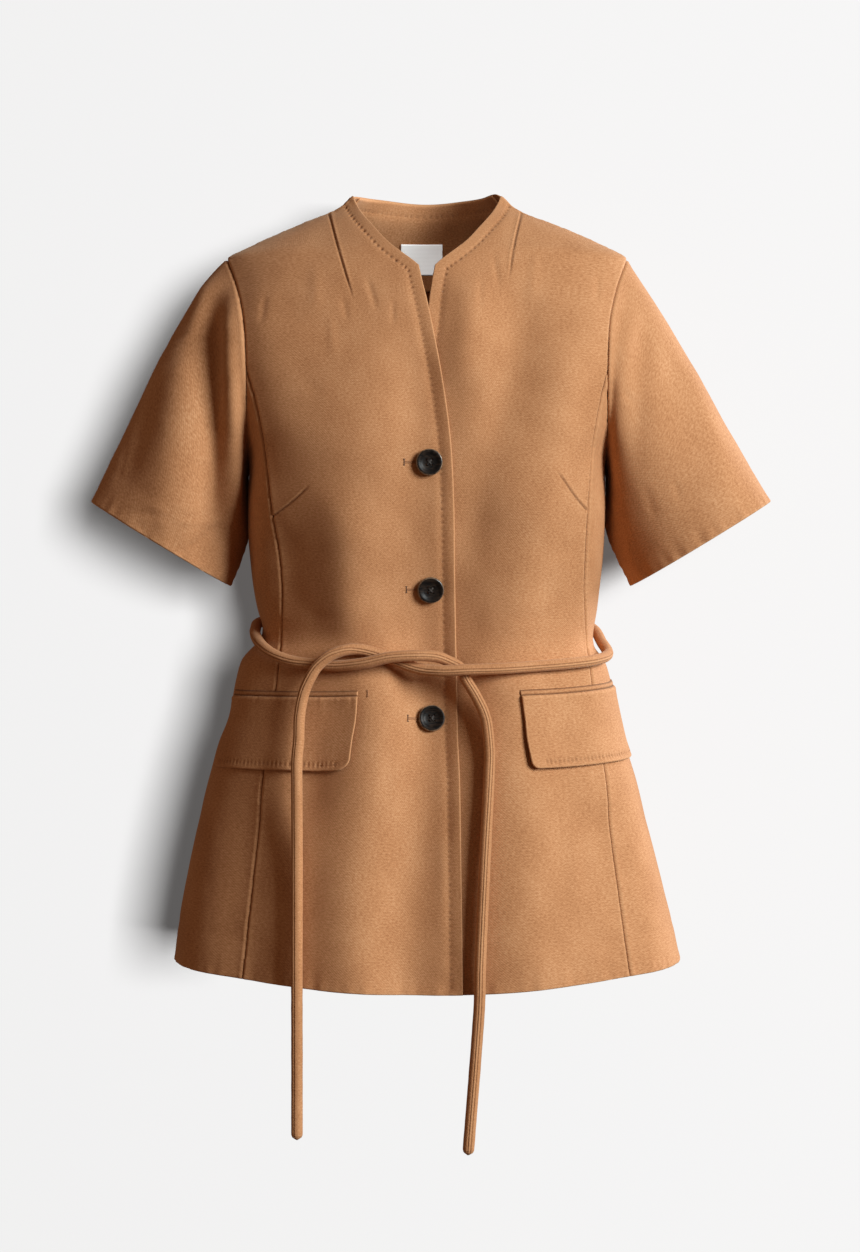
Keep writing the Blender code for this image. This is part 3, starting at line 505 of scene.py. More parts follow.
# Lamps: a soft key high on the right, a weak fill, one behind, and ones that light the wall, the label
# and the neck's facing alone
Lamp = namedtuple("Lamp", "name place size power colour")
LAMP_AIM = Vector((0.0, 0.0, -0.36))
LAMPS = (
    Lamp("key_lamp", (4.30, -3.61, 1.46), 2.6, 500.0, (0.90, 0.98, 0.985)),
    Lamp("fill_lamp", (-2.50, -0.67, -0.25), 1.8, 5.0, (1.0, 0.68, 0.46)),
    Lamp("back_lamp", (2.50, 2.00, 0.70), 1.4, 105.0, (1.0, 0.98, 0.95)),
    Lamp("wall_lamp", (3.50, -12.0, 0.05), 3.4, 13400.0, (1.0, 1.0, 1.0)),
    Lamp("label_lamp", (0.25, -2.20, 0.45), 0.8, 34.0, (1.0, 1.0, 1.0)),
    Lamp("neck_facing_lamp", (0.15, -2.20, 0.55), 0.8, 8.0, (1.0, 0.90, 0.78)),
)
# The pieces whose shadow falls on the wall
WALL_SHADOWS = ("sleeve_right", "sleeve_left", "side_right", "side_left", "back")
# The lamps that light one piece alone, which they are named after
LIT_ALONE = ("label_lamp", "neck_facing_lamp")


def smooth(points, at):
    """Values at keys on the smooth curve through (key, value) points, held level past both ends."""
    keys, values = np.array(points, float).T
    at = np.clip(np.asarray(at, float), keys[0], keys[-1])
    index = np.clip(np.searchsorted(keys, at, side="right") - 1, 0, len(keys) - 2)
    before = np.maximum(np.arange(len(keys)) - 1, 0)
    after = np.minimum(np.arange(len(keys)) + 1, len(keys) - 1)
    slopes = (values[after] - values[before]) / (keys[after] - keys[before])
    span = keys[index + 1] - keys[index]
    t = (at - keys[index]) / span
    rise, settle = t * t * (3 - 2 * t), t * t * (t - 1)
    turned = slopes[index] * span * t * (1 - t) ** 2 + slopes[index + 1] * span * settle
    return blend(values[index], values[index + 1], rise) + turned


def ease(value, start, end):
    """0 before start, 1 past end, and a soft step between them."""
    t = np.clip((value - start) / (end - start), 0.0, 1.0)
    return t * t * (3 - 2 * t)


def blend(low, high, share):
    return low + (high - low) * share


def unit(vectors):
    return vectors / np.maximum(np.linalg.norm(vectors, axis=-1, keepdims=True), TINY)


def bump(distance, half_width):
    return np.exp(-((distance / half_width) ** 2))


def halve(low, high, short_of, rounds):
    """The greatest values from low to high that are still short of something."""
    for _ in range(rounds):
        middle = (low + high) / 2
        short = short_of(middle)
        low, high = np.where(short, middle, low), np.where(short, high, middle)
    return low


def steps_of(line):
    return np.linalg.norm(np.diff(line, axis=0), axis=1)


def walked_along(line):
    """How far along a line each of its points is."""
    return np.concatenate([[0], np.cumsum(steps_of(line))])


def depth_at(height, x, back=False):
    """Depth of the body tube at an x, to the front or the back."""
    across = np.minimum(np.abs(x - smooth(MIDDLES, height)) / smooth(WIDTHS, height), 1.0)
    reach = np.where(back, smooth(BACKS, height), smooth(FRONTS, height))
    square = smooth(SQUARES, height)
    return reach * (1 - across**square) ** (1 / square)


def bearing_at(height, x, back=False):
    """Bearing of the place with some x on the front or the back of the body tube."""
    depth = depth_at(height, x, back)
    return np.arctan2(x - smooth(MIDDLES, height), np.where(back, -depth, depth))


def radius_at(height, bearing, grown=0.0):
    """Distance of the body tube from its middle along a bearing, or of that tube grown all round."""
    forward = np.cos(bearing)
    depth = np.where(forward > 0, smooth(FRONTS, height), smooth(BACKS, height)) + grown
    across = np.abs(np.sin(bearing)) / (smooth(WIDTHS, height) + grown)
    square = smooth(SQUARES, height)
    return (across**square + (np.abs(forward) / depth) ** square) ** (-1 / square)


def fold_rise(height, bearing):
    total = 0.0
    for fold in FOLDS:
        span = max(fold.top - fold.bottom, TINY)
        down = np.clip((fold.top - height) / span, 0.0, 1.0)
        line = np.radians(blend(fold.bearing_top, fold.bearing_bottom, down))
        turn = np.angle(np.exp(1j * (bearing - line)))
        across = turn * radius_at(height, bearing)
        beyond = np.maximum(np.maximum(height - fold.top, fold.bottom - height), 0.0)
        total = total + fold.rise * bump(np.hypot(across, beyond), fold.half_width)
    return total


def chest_fill(height, x, forward):
    """How far the front of the chest stands forward of the tube, where forward is a bearing's cosine."""
    width = blend(*CHEST_FILL_WIDTHS, ease(height, *CHEST_FILL_WIDER))
    centre = np.minimum(CHEST_FILL_X, CHEST_FILL_SHARE * smooth(WIDTHS, height))
    beside = bump(np.abs(x) - centre, width) * ease(forward, 0.0, CHEST_FILL_TURN)
    return CHEST_FILL * beside * ease(height, *CHEST_FILL_START) * (1 - ease(height, *CHEST_FILL_END))


def tube_point(height, bearing):
    height, bearing = np.broadcast_arrays(np.asarray(height, float), np.asarray(bearing, float))
    radius = radius_at(height, bearing) + fold_rise(height, bearing)
    x = smooth(MIDDLES, height) + radius * np.sin(bearing)
    y = -radius * np.cos(bearing) - chest_fill(height, x, np.cos(bearing))
    return np.stack([x, y, height], axis=-1)


def body_surface(height, bearing):
    """Points of the body's outer cloth and their outward normals."""
    across = tube_point(height, bearing + STEP_ROUND) - tube_point(height, bearing - STEP_ROUND)
    along = tube_point(height + STEP_UP, bearing) - tube_point(height - STEP_UP, bearing)
    return tube_point(height, bearing), unit(np.cross(across, along))


def hem_drop(height, bearing):
    """How far the hem's curve lowers a row, fading out towards the hip."""
    drop = np.where(np.cos(bearing) > 0, HEM_FRONT_DROP, HEM_BACK_DROP)
    return drop * np.abs(np.cos(bearing)) ** HEM_CURVE * (1 - ease(height, HEM_SIDE, HIP))


def armhole_bearing(height, back=False):
    return bearing_at(height, smooth(ARMHOLE, height), back)


def front_outer_edge(height, side):
    """Bearing, without its sign, of a front's outer edge: princess seam, armhole, then shoulder seam."""
    seam_x = side * smooth(FRONT_SEAM, height) + smooth(CENTRE_LEAN, height)
    bearing = np.where(height > SEAM_TOP, armhole_bearing(height), side * bearing_at(height, seam_x))
    return np.where(height > SHOULDER_TIP, math.pi / 2, bearing)


def front_inner_edge(height, side):
    """Bearing of a front's neckline and centre edge."""
    centre = smooth(OVER_EDGE if side < 0 else UNDER_EDGE, height)
    x = np.where(height >= NECK_NOTCH, side * smooth(NECKLINE, height), centre)
    return bearing_at(height, x)


def back_outer_edge(height):
    top = (SEAM_TOP, math.degrees(armhole_bearing(SEAM_TOP, back=True)))
    seam = np.radians(smooth((*BACK_SEAM, top), height))
    bearing = np.where(height > SEAM_TOP, armhole_bearing(height, back=True), seam)
    return np.where(height > SHOULDER_TIP, math.pi / 2, bearing)


def lap_inset(height, bearing):
    """How far the left front lies in behind the right one."""
    x = smooth(MIDDLES, height) + radius_at(height, bearing) * np.sin(bearing)
    edge = smooth(OVER_EDGE, height)
    beside = 1 - ease(x, edge + LAP_MARGIN, edge + LAP_MARGIN + LAP_BLEND)
    return LAP_DEPTH * beside * (1 - ease(height, LAP_TOP, NECK_NOTCH))


def panel_height(v):
    """Heights up a front or the back, with a row of the grid at the tip of the shoulder."""
    return np.interp(v, (0.0, TIP_SHARE, 1.0), (HEM_SIDE, SHOULDER_TIP, COLLAR_SIDE))


def front_place(side):
    def place(u, v):
        height = panel_height(v)
        outer, inner = side * front_outer_edge(height, side), front_inner_edge(height, side)
        low, high = (outer, inner) if side < 0 else (inner, outer)
        bearing = blend(low, high, u)
        points, normals = body_surface(height - hem_drop(height, bearing), bearing)
        if side > 0:
            points = points - normals * lap_inset(height, bearing)[..., None]
        return points, normals

    return place


def side_tops(side, shares):
    """Heights of the armhole's lower edge on a side panel, at shares of the way to the back seam."""
    def between(height):
        return blend(front_outer_edge(height, side), back_outer_edge(height), shares)

    def inside(height):
        return (between(height) - armhole_bearing(height, back) > 0) == back

    low, high = np.full_like(shares, ARMPIT), np.full_like(shares, SEAM_TOP)
    back = between(low) > math.pi / 2
    tops = halve(low, high, inside, SIDE_HALVINGS)
    tops[[0, -1]] = SEAM_TOP
    return tops


def side_place(side):
    shares = np.linspace(0, 1, SIDE_SAMPLES)
    tops = side_tops(side, shares)

    def place(u, v):
        share = u if side > 0 else 1 - u
        height = blend(HEM_SIDE, SEAM_TOP, v)
        squeeze = (np.interp(share, shares, tops) - WAIST_TOP) / (SEAM_TOP - WAIST_TOP)
        height = np.where(height > WAIST_TOP, WAIST_TOP + (height - WAIST_TOP) * squeeze, height)
        bearing = side * blend(front_outer_edge(height, side), back_outer_edge(height), share)
        return body_surface(height - hem_drop(height, bearing), bearing)

    return place


def back_surface(u, height):
    edge = back_outer_edge(height)
    bearing = edge + (math.tau - 2 * edge) * u
    rise = COLLAR_RISE * np.cos(bearing) ** 2 + COLLAR_SWELL * np.sin(2 * bearing) ** 2
    turn = np.abs(bearing - math.pi)
    lift = np.where(bearing > math.pi, COLLAR_LIFT[-1], COLLAR_LIFT[1])
    lift = lift * bump(turn - COLLAR_LIFT_AT, COLLAR_LIFT_WIDTH) * (1 - ease(turn, *COLLAR_LIFT_END))
    rise = (rise + lift) * ease(height, SHOULDER_TIP, COLLAR_SIDE)
    return body_surface(height + rise - hem_drop(height, bearing), bearing)


def back_place(u, v):
    return back_surface(u, panel_height(v))


def facing_place(u, v):
    """The inside of the neck facing, which looks inwards."""
    share = blend(FACING_SHARE[1], FACING_SHARE[0], u)
    points, normals = back_surface(share, blend(FACING_BOTTOM, COLLAR_SIDE, v))
    return points - normals * (2 * CLOTH + FACING_GAP), -normals


def label_place(u, v):
    """The inside of the label, which looks inwards."""
    height = blend(*LABEL_Z, v)
    points, normals = body_surface(height, bearing_at(height, blend(*LABEL_X, u), back=True))
    return points - normals * (2 * CLOTH + 2 * FACING_GAP + LABEL_CLOTH + LABEL_GAP), -normals


def sleeve_point(side, turn, along):
    """Points of a sleeve: turn goes round it from the shoulder to the front, along runs to the hem."""
    middle = (SHOULDER_TIP + ARMPIT) / 2
    forward, upward = np.sin(turn), np.cos(turn)
    height = middle + (SHOULDER_TIP - middle) * upward
    x = smooth(ARMHOLE, height)
    ahead_of = np.copysign(depth_at(height, x, back=forward < 0), forward)
    ahead_of = ahead_of + chest_fill(height, x, ahead_of / np.hypot(x, ahead_of))
    start = np.stack([x - ARMHOLE_TUCK, -ahead_of, height], axis=-1)
    share = ((1 + upward) / 2)[..., None]
    sideways, ahead = np.array((1.0, 0.0, 0.0)), np.array((0.0, 1.0, 0.0))
    forward = forward[..., None]
    end = blend(SLEEVE_HEM_UNDER, SLEEVE_HEM_TOP, share)
    end = end + sideways * side * SLEEVE_SWAY - ahead * SLEEVE_HEM_DEPTH * forward
    leave = blend(UNDER_LEAVE, TOP_LEAVE[side], share) - ahead * SLEEVE_SWELL * forward
    arrive = blend(UNDER_ARRIVE, TOP_ARRIVE[side], share)
    a, rest = along[..., None], 1 - along[..., None]
    point = start * rest**3 + (start + leave) * 3 * rest**2 * a
    point = point + (end - arrive) * 3 * rest * a**2 + end * a**3
    trough = bump(a - TROUGH_PLACE, TROUGH_WIDTH) * np.maximum(forward, 0.0) ** 2
    point = point + ahead * TROUGH_DEPTH[side] * trough
    from_under = np.angle(np.exp(1j * (turn - math.pi)))[..., None]
    sag = bump(from_under, UNDER_SAG_TURN) * bump(a - UNDER_SAG_PLACE, UNDER_SAG_WIDTH)
    point = point - sideways * UNDER_SAG[side] * sag
    return point * np.array((side, 1.0, 1.0))


def sleeve_place(side):
    def place(u, v):
        turn = math.pi + side * math.tau * u
        points = sleeve_point(side, turn, v)
        round_it = sleeve_point(side, turn + STEP_ROUND, v) - sleeve_point(side, turn - STEP_ROUND, v)
        down = sleeve_point(side, turn, v + STEP_ROUND) - sleeve_point(side, turn, v - STEP_ROUND)
        return points, unit(np.cross(round_it, down)) * side

    return place


def flap_bearings(flap, lengths):
    """Bearings, without their sign, at lengths of cloth round the body from a flap's inner end."""
    start = float(flap.side * bearing_at(FLAP_TOP, flap.side * flap.inner_x))
    bearings = start + np.linspace(0, FLAP_TURN, FLAP_SAMPLES)
    return np.interp(lengths, walked_along(tube_point(FLAP_TOP, flap.side * bearings)), bearings)


def pocket_surface(flap, length, above):
    """The body's surface at lengths along a pocket, some way above the top of its flap."""
    height = FLAP_TOP + flap.outer_rise * length / FLAP_WIDTH + above
    return body_surface(height, flap.side * flap_bearings(flap, length))


def flap_place(flap):
    radius = flap.corner
    corner = radius * math.pi / 2
    whole = FLAP_WIDTH - 2 * radius + 2 * corner

    def place(u, v):
        walked = whole * (u if flap.side > 0 else 1 - u)
        first = radius * (1 - np.cos(np.minimum(walked, corner) / radius))
        last = radius * (1 - np.cos(np.minimum(whole - walked, corner) / radius))
        length = np.where(walked < corner, first, radius + walked - corner)
        length = np.where(walked > whole - corner, FLAP_WIDTH - last, length)
        from_end = np.minimum(np.minimum(length, FLAP_WIDTH - length), radius)
        rounding = radius - np.sqrt(np.maximum(radius**2 - (radius - from_end) ** 2, 0.0))
        depth = (FLAP_DEPTH - rounding) * (1 - v)
        lifted = flap.lift * depth / FLAP_DEPTH * (1 - ease(length, 0.0, FLAP_WIDTH))
        lifted = lifted - FLAP_SETTLE * ease(length, FLAP_WIDTH / 2, FLAP_WIDTH)
        points, normals = pocket_surface(flap, length, -depth)
        return points + normals * (LAID_GAP + FLAP_CLOTH + lifted)[..., None], normals

    return place


def welt_place(flap):
    def place(u, v):
        length = FLAP_WIDTH * (u if flap.side > 0 else 1 - u)
        points, normals = pocket_surface(flap, length, WELT_DEPTH * v)
        return points + normals * WELT_RISE, normals

    return place


def near(points, line):
    """Distance from each point to a line of points, and how far along it the nearest place is."""
    tree = KDTree(len(line))
    for index, point in enumerate(line.tolist()):
        tree.insert(point, index)
    tree.balance()
    index = np.array([tree.find(point)[1] for point in points.tolist()])
    steps, run = steps_of(line), walked_along(line)
    best, along = np.full(len(points), np.inf), np.zeros(len(points))
    for first in (np.maximum(index - 1, 0), np.minimum(index, len(line) - 2)):
        start, step = line[first], line[first + 1] - line[first]
        share = ((points - start) * step).sum(1) / np.maximum((step * step).sum(1), TINY)
        share = np.clip(share, 0, 1)
        distance = np.linalg.norm(points - start - share[:, None] * step, axis=1)
        closer = distance < best
        along[closer] = (run[first] + share * steps[first])[closer]
        best = np.minimum(best, distance)
    return best, along


def boxed(points, line, reach):
    """Which points lie within reach of the box round a line."""
    return ((points > line.min(0) - reach) & (points < line.max(0) + reach)).all(1)


def through(points, step):
    """Points about a step apart on the smooth curve through the given ones."""
    points = np.array(points, float)
    ends = np.concatenate([[2 * points[0] - points[1]], points, [2 * points[-1] - points[-2]]])
    path = [points[:1]]
    for before, start, end, after in zip(ends, ends[1:], ends[2:], ends[3:]):
        span = np.linalg.norm(end - start)
        leave = (end - before) / (span + np.linalg.norm(start - before)) * span
        arrive = (after - start) / (span + np.linalg.norm(after - end)) * span
        count = max(1, round(span / step))
        t = (np.arange(1, count + 1) / count)[:, None]
        rise, settle = t * t * (3 - 2 * t), t * t * (t - 1)
        path.append(blend(start, end, rise) + leave * t * (1 - t) ** 2 + arrive * settle)
    return np.concatenate(path)


def flat_line(line, step):
    """The x and heights of points about a step apart on the smooth curve through (x, height) places."""
    return through([(x, 0.0, height) for x, height in line], step).T[::2]


def on_body(face, line, step=CREASE_STEP):
    """A line through (x, height) places, laid on the front or the back of the body."""
    x, height = flat_line(line, step)
    return tube_point(height, bearing_at(height, x, back=face == "back"))


def on_sleeve(face, line):
    """A line through (x, height) places, laid on the front or the back of a sleeve."""
    x, height = flat_line(line, CREASE_STEP)
    side, behind = -1 if "right" in face else 1, face.endswith("back")
    turns, shares = np.linspace(0, math.pi, SLEEVE_SAMPLES), np.linspace(0, 1, SLEEVE_SAMPLES)
    turn, along = np.meshgrid(turns, shares)
    grid = sleeve_point(side, turn + (math.pi if behind else 0.0), along).reshape(-1, 3)
    off = (grid[None, :, 0] - x[:, None]) ** 2 + (grid[None, :, 2] - height[:, None]) ** 2
    return grid[off.argmin(axis=1)]


def wander(along, seed, longest):
    """An uneven wave along a line, about -1 to 1, with waves no longer than the given length."""
    random = np.random.default_rng(seed)
    total = 0.0
    for share in WANDER_SHARES:
        total = total + np.sin(math.tau * (along / (longest * share) + random.random()))
    return total / WANDER_SIZE


def unevenness(points):
    """The slight waviness of cloth that nothing holds flat."""
    random = np.random.default_rng(UNEVEN_SEED)
    total = np.zeros(len(points))
    for wave, height in UNEVEN_WAVES:
        for _ in range(UNEVEN_COUNT):
            direction = random.normal(size=3)
            direction[2] *= UNEVEN_UPWARD
            direction /= np.linalg.norm(direction)
            total += height * np.sin(points @ direction * math.tau / wave + random.random() * math.tau)
    return total / 2


def laid_creases(part):
    """The creases of the body or of one sleeve, with their lines in space."""
    faces = ("front", "back") if part == "body" else (part, part + "_back")
    lay = on_body if part == "body" else on_sleeve
    rows = [(face, *row) for face in faces for row in CREASES[face]]
    return [Crease(half_width, rise, lay(face, line)) for face, half_width, rise, line in rows]


creases_of = {part: laid_creases(part) for part in ("body", "sleeve_right", "sleeve_left")}


def crease_rise(points, part):
    """How far the creases of a part of the jacket move its cloth out at some points."""
    total = np.zeros(len(points))
    for crease in creases_of[part]:
        close = boxed(points, crease.line, CREASE_REACH * crease.half_width)
        if not close.any():
            continue
        distance, along = near(points[close], crease.line)
        length = steps_of(crease.line).sum()
        fade = min(CREASE_FADE, CREASE_FADE_SHARE * length)
        taper = ease(along, 0.0, fade) * (1 - ease(along, length - fade, length))
        total[close] += crease.rise * bump(distance, crease.half_width) * taper
    if part == "body":
        pressed = 1 - BELT_PRESS * bump(points[:, 2] - BELT_LEVEL, BELT_PRESS_REACH)
        total = np.where(total > 0, total * pressed, total)
    return total


def draped(points, part):
    """All soft movement of the cloth at some points: its creases and its slight waviness."""
    return crease_rise(points, part) + unevenness(points)


def roll(distance):
    """How far a turned edge has rounded away, towards the middle of its thickness."""
    inside = np.clip(EDGE_ROLL - distance, 0.0, EDGE_ROLL)
    return EDGE_ROLL - np.sqrt(np.maximum(EDGE_ROLL**2 - inside**2, 0.0))


def stitch_wave(along, step):
    """1 at the middle of each stitch along a row, 0 between them."""
    shift = STITCH_SHIFT * wander(along, STITCH_SHIFT_SEED, STITCH_SHIFT_LENGTH)
    phase = np.abs((along / step + shift + 0.5) % 1.0 - 0.5) * step
    return bump(phase, min(STITCH_LENGTH, STITCH_SHARE * step) / 2)


EDGE_SIDES = ("low", "high", "first", "last")


def edge_line(place, side):
    """Points along one side of a panel, a step apart."""
    def sample(t):
        fixed = np.full_like(t, 0.0 if side in ("low", "first") else 1.0)
        return place(t, fixed)[0] if side in ("low", "high") else place(fixed, t)[0]

    shares = np.linspace(0, 1, EDGE_SAMPLES)
    walked = walked_along(sample(shares))
    count = max(2, math.ceil(walked[-1] / EDGE_STEP))
    return sample(np.interp(np.linspace(0, walked[-1], count), walked, shares))


def has_straight_corner(face):
    return any(abs(corner.calc_angle() - math.pi) < STRAIGHT_CORNER for corner in face.loops)


def refined_grid(place, wanted, columns, rows):
    """A grid over a panel's flat square, cut finer where wanted() asks: flat places and faces."""
    bm = bmesh.new()
    bmesh.ops.create_grid(bm, x_segments=columns, y_segments=rows, size=0.5)
    for _ in range(REFINE_ROUNDS):
        bm.verts.index_update()
        bm.edges.index_update()
        flat = np.array([vert.co[:2] for vert in bm.verts]) + 0.5
        points = place(flat[:, 0], flat[:, 1])[0]
        size = wanted(points)
        ends = np.array([[edge.verts[0].index, edge.verts[1].index] for edge in bm.edges])
        length = np.linalg.norm(points[ends[:, 0]] - points[ends[:, 1]], axis=1).tolist()
        size = np.minimum(size[ends[:, 0]], size[ends[:, 1]]).tolist()
        marked = set()
        for face in bm.faces:
            sides = [edge.index for edge in face.edges]
            least = min(size[i] for i in sides)
            if max(length[i] for i in sides) > TOO_LONG * least:
                marked.update(i for i in sides if length[i] > WORTH_CUTTING * least)
        bm.edges.ensure_lookup_table()
        cut = [bm.edges[i] for i in sorted(marked)]
        if not cut:
            break
        bmesh.ops.subdivide_edges(bm, edges=cut, cuts=1, use_grid_fill=True)
    uneven = [face for face in bm.faces if len(face.verts) > 4 or has_straight_corner(face)]
    bmesh.ops.triangulate(bm, faces=uneven)
    bm.verts.index_update()
    flat = np.array([vert.co[:2] for vert in bm.verts]) + 0.5
    faces = [[vert.index for vert in face.verts] for face in bm.faces]
    bm.free()
    return flat, faces


def link(item):
    bpy.context.scene.collection.objects.link(item)


def cloth_mesh(name, points, faces, uv, rub):
    """A mesh of cloth, with its flat place and, at each point, its wear and painted light."""
    mesh = bpy.data.meshes.new(name)
    mesh.from_pydata(points.tolist(), [], faces)
    corners = np.zeros(len(mesh.loops), np.int32)
    mesh.loops.foreach_get("vertex_index", corners)
    mesh.uv_layers.new(name="cloth").data.foreach_set("uv", uv[corners].astype(np.float32).ravel())
    wear_and_light_layer = mesh.attributes.new("rub", "FLOAT", "POINT")
    wear_and_light_layer.data.foreach_set("value", rub.astype(np.float32))
    mesh.shade_smooth()
    mesh.update()
    return mesh


def shell_mesh(name, outer, inner, faces, uv, rub):
    """A closed mesh between an outer and an inner surface that share their faces."""
    count = len(outer)
    directed = {(a, b) for face in faces for a, b in zip(face, face[1:] + face[:1])}
    rim = [(b, a, a + count, b + count) for a, b in directed if (b, a) not in directed]
    inside = [[index + count for index in reversed(face)] for face in faces]
    points, both = np.concatenate([outer, inner]), np.concatenate([uv, uv])
    return cloth_mesh(name, points, faces + inside + sorted(rim), both, np.concatenate([rub, rub * 0]))


def add_piece(name, mesh, material, node=None):
    piece = bpy.data.objects.new(name, mesh)
    link(piece)
    mesh.materials.append(material)
    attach(piece, BODY)
    if node:
        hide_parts(node)
    if name in WALL_SHADOWS:
        wall_shadows.objects.link(piece)
    if name + "_lamp" in lit_alone:
        lit_alone[name + "_lamp"].objects.link(piece)
    return piece


def edge_relief(kind, distance, along, seed):
    """Relief of the cloth beside an edge of some kind: its rise, its rounding, and its wear and painted
    light.
    """
    if kind == "pocket":
        # A shallow groove with painted shade along it.
        line = bump(distance, POCKET_LINE)
        return -POCKET_GROOVE * line, np.zeros(len(distance)), -POCKET_PAINTED_SHADE * line
    if kind == "seam":
        groove, ridge = bump(distance, SEAM_WIDTH), bump(distance - SEAM_RIDGE_AT, SEAM_RIDGE_WIDTH)
        allowance = 1 - ease(distance, SEAM_ALLOWANCE - ALLOWANCE_EDGE, SEAM_ALLOWANCE + ALLOWANCE_EDGE)
        pucker = PUCKER * wander(along, seed, PUCKER_LENGTH)
        pucker = pucker * bump(distance - SEAM_RIDGE_AT, PUCKER_REACH)
        rise = SEAM_RIDGE * ridge - SEAM_GROOVE * groove + ALLOWANCE_RISE * allowance + pucker
        # A painted highlight beside the seam and painted shade in its groove.
        rub = SEAM_HIGHLIGHT * bump(distance - SEAM_HIGHLIGHT_AT, LIGHT_LINE_WIDTH)
        return rise, np.zeros(len(distance)), rub - SEAM_PAINTED_SHADE * bump(distance, SEAM_PAINTED_SHADE_WIDTH)
    rise = EDGE_PUFF * bump(distance, EDGE_PUFF_REACH)
    if kind == "hem":
        pucker = HEM_PUCKER * wander(along, seed, HEM_PUCKER_LENGTH) * bump(distance, HEM_PUCKER_REACH)
        rise = rise + pucker - HEM_TROUGH * bump(distance - HEM_DEPTH, STITCH_TROUGH_WIDTH)
    # Turned edges and hems are lighter, partly by wear and partly by a painted highlight.
    return rise, roll(distance), EDGE_WEAR_AND_HIGHLIGHT * bump(distance, LIGHT_LINE_WIDTH)


def row_relief(row, distance, along, heights):
    """Relief of a row of stitches, a dimple at each in a shallow trough along the row, and the shade
    painted into its dimples.
    """
    neck = ease(heights, NECK_NOTCH - ROW_BLEND, NECK_NOTCH)
    dip, trough, dark = (blend(*ends, neck) for ends in (row.dip, row.trough, row.dark))
    off, end = distance - row.inset, along.max() - row.margin
    held = ease(along, row.margin, row.margin + ROW_FADE) * (1 - ease(along, end - ROW_FADE, end))
    uneven = np.clip(wander(along, STITCH_UNEVEN_SEED, STITCH_UNEVEN_LENGTH), -1, 1)
    fainter = STITCH_UNEVEN * (0.5 + 0.5 * uneven)
    dimples = held * (1 - fainter) * bump(off, row.reach) * stitch_wave(along, row.step)
    return -dip * dimples - held * trough * bump(off, STITCH_TROUGH_WIDTH), -dark * dimples


def dart_relief(dart, line, points):
    """Relief of a sewn dart: a fine groove with a raised lip on one side, fading at its tip, with a painted
    highlight on the lip and painted shade in the groove.
    """
    distance, along = near(points, line)
    length = steps_of(line).sum()
    fade = 1 - ease(along, DART_FADE * length, length)
    nearest = line[np.clip((along / length * (len(line) - 1)).astype(int), 0, len(line) - 1)]
    lip = np.where((points - nearest)[:, 0] * dart.lip > 0, 1.0, DART_FAR_LIP)
    beside, groove = bump(distance - DART_LIP_AT, DART_LIP_WIDTH), bump(distance, DART_WIDTH)
    rise = DART_LIP * lip * beside - dart.depth * groove
    rub = DART_HIGHLIGHT * lip * beside - DART_PAINTED_SHADE * groove
    return rise * fade, rub * fade


def stronger(rub, other):
    return np.where(np.abs(other) > np.abs(rub), other, rub)


def cloth_piece(
    name, place, size, edges, material, part="body", thickness=CLOTH, rows=None, fine=FINE
):
    """A shell of cloth on place(u, v), about size = (width, length), with its edges' reliefs.

    edges gives the kind of each side that has one: seam, turned, hem or pocket. rows gives the stitch
    row that follows a side, part whose creases the cloth takes, if any, and fine its shortest edges.
    """
    rows = rows or {}
    lines = {side: edge_line(place, side) for side in EDGE_SIDES if edges.get(side)}
    darts = [(dart, on_body("front", dart.line, DART_STEP)) for dart in DARTS if dart.panel == name]

    def wanted(points):
        distances = {side: near(points, line)[0] for side, line in lines.items()}
        features = list(distances.values())
        features += [np.abs(distances[side] - row.inset) for side, row in rows.items()]
        features += [near(points, line)[0] for _, line in darts]
        closest = np.min(features, axis=0)
        size = np.where(closest < FINE_REACH, fine, np.where(closest < MIDDLING_REACH, MIDDLING, COARSE))
        for crease in creases_of.get(part, ()):
            if crease.half_width < SMALL_CREASE:
                reach = SMALL_CREASE_REACH * crease.half_width
                close = np.flatnonzero(boxed(points, crease.line, reach))
                inside = close[near(points[close], crease.line)[0] < reach] if len(close) else close
                size[inside] = np.minimum(size[inside], SMALL_CREASE_STEP * crease.half_width)
        return size

    def shaped(points):
        """The soft movement, the relief, the rounding, and the wear and painted light of the cloth at some
        points.
        """
        soft = draped(points, part) if part else np.zeros(len(points))
        relief, rounding, rub = (np.zeros(len(points)) for _ in range(3))
        for seed, (side, line) in enumerate(lines.items()):
            distance, along = near(points, line)
            rise, rounded, added_wear_and_light = edge_relief(edges[side], distance, along, seed)
            relief += rise
            rounding = np.maximum(rounding, rounded)
            rub = stronger(rub, added_wear_and_light)
            if side in rows:
                rise, added_wear_and_light = row_relief(rows[side], distance, along, points[:, 2])
                relief += rise
                rub = stronger(rub, added_wear_and_light)
        for dart, line in darts:
            rise, added_wear_and_light = dart_relief(dart, line, points)
            relief += rise
            rub = stronger(rub, added_wear_and_light)
        return soft, relief, rounding, rub

    columns, steps = (max(2, math.ceil(length / COARSE / GRID_STEP)) for length in size)
    flat, faces = refined_grid(place, wanted, columns, steps)
    points, normals = place(flat[:, 0], flat[:, 1])
    soft, relief, rounding, rub = shaped(points)
    rounding = np.minimum(rounding, ROUND_SHARE * thickness)
    outer = points + normals * (soft + relief - rounding)[:, None]
    sunk = np.minimum(relief + SINK_SHARE * thickness, 0)
    inner = points + normals * (soft + sunk + rounding - thickness)[:, None]
    uv = (flat - 0.5) * np.array(size)
    piece = add_piece(name, shell_mesh(name, outer, inner, faces, uv, rub), material, name)
    stitches = []
    for side, row in rows.items():
        stitches += row_stitches(place, side, row, lines[side], shaped)
    if stitches:
        tubes = [(path, THREAD_RADIUS * STITCH_TAPER) for path in stitches]
        mesh = joined_tubes(name + "_stitches", tubes, THREAD_SIDES)
        add_piece(name + "_stitches", mesh, thread)
    return piece


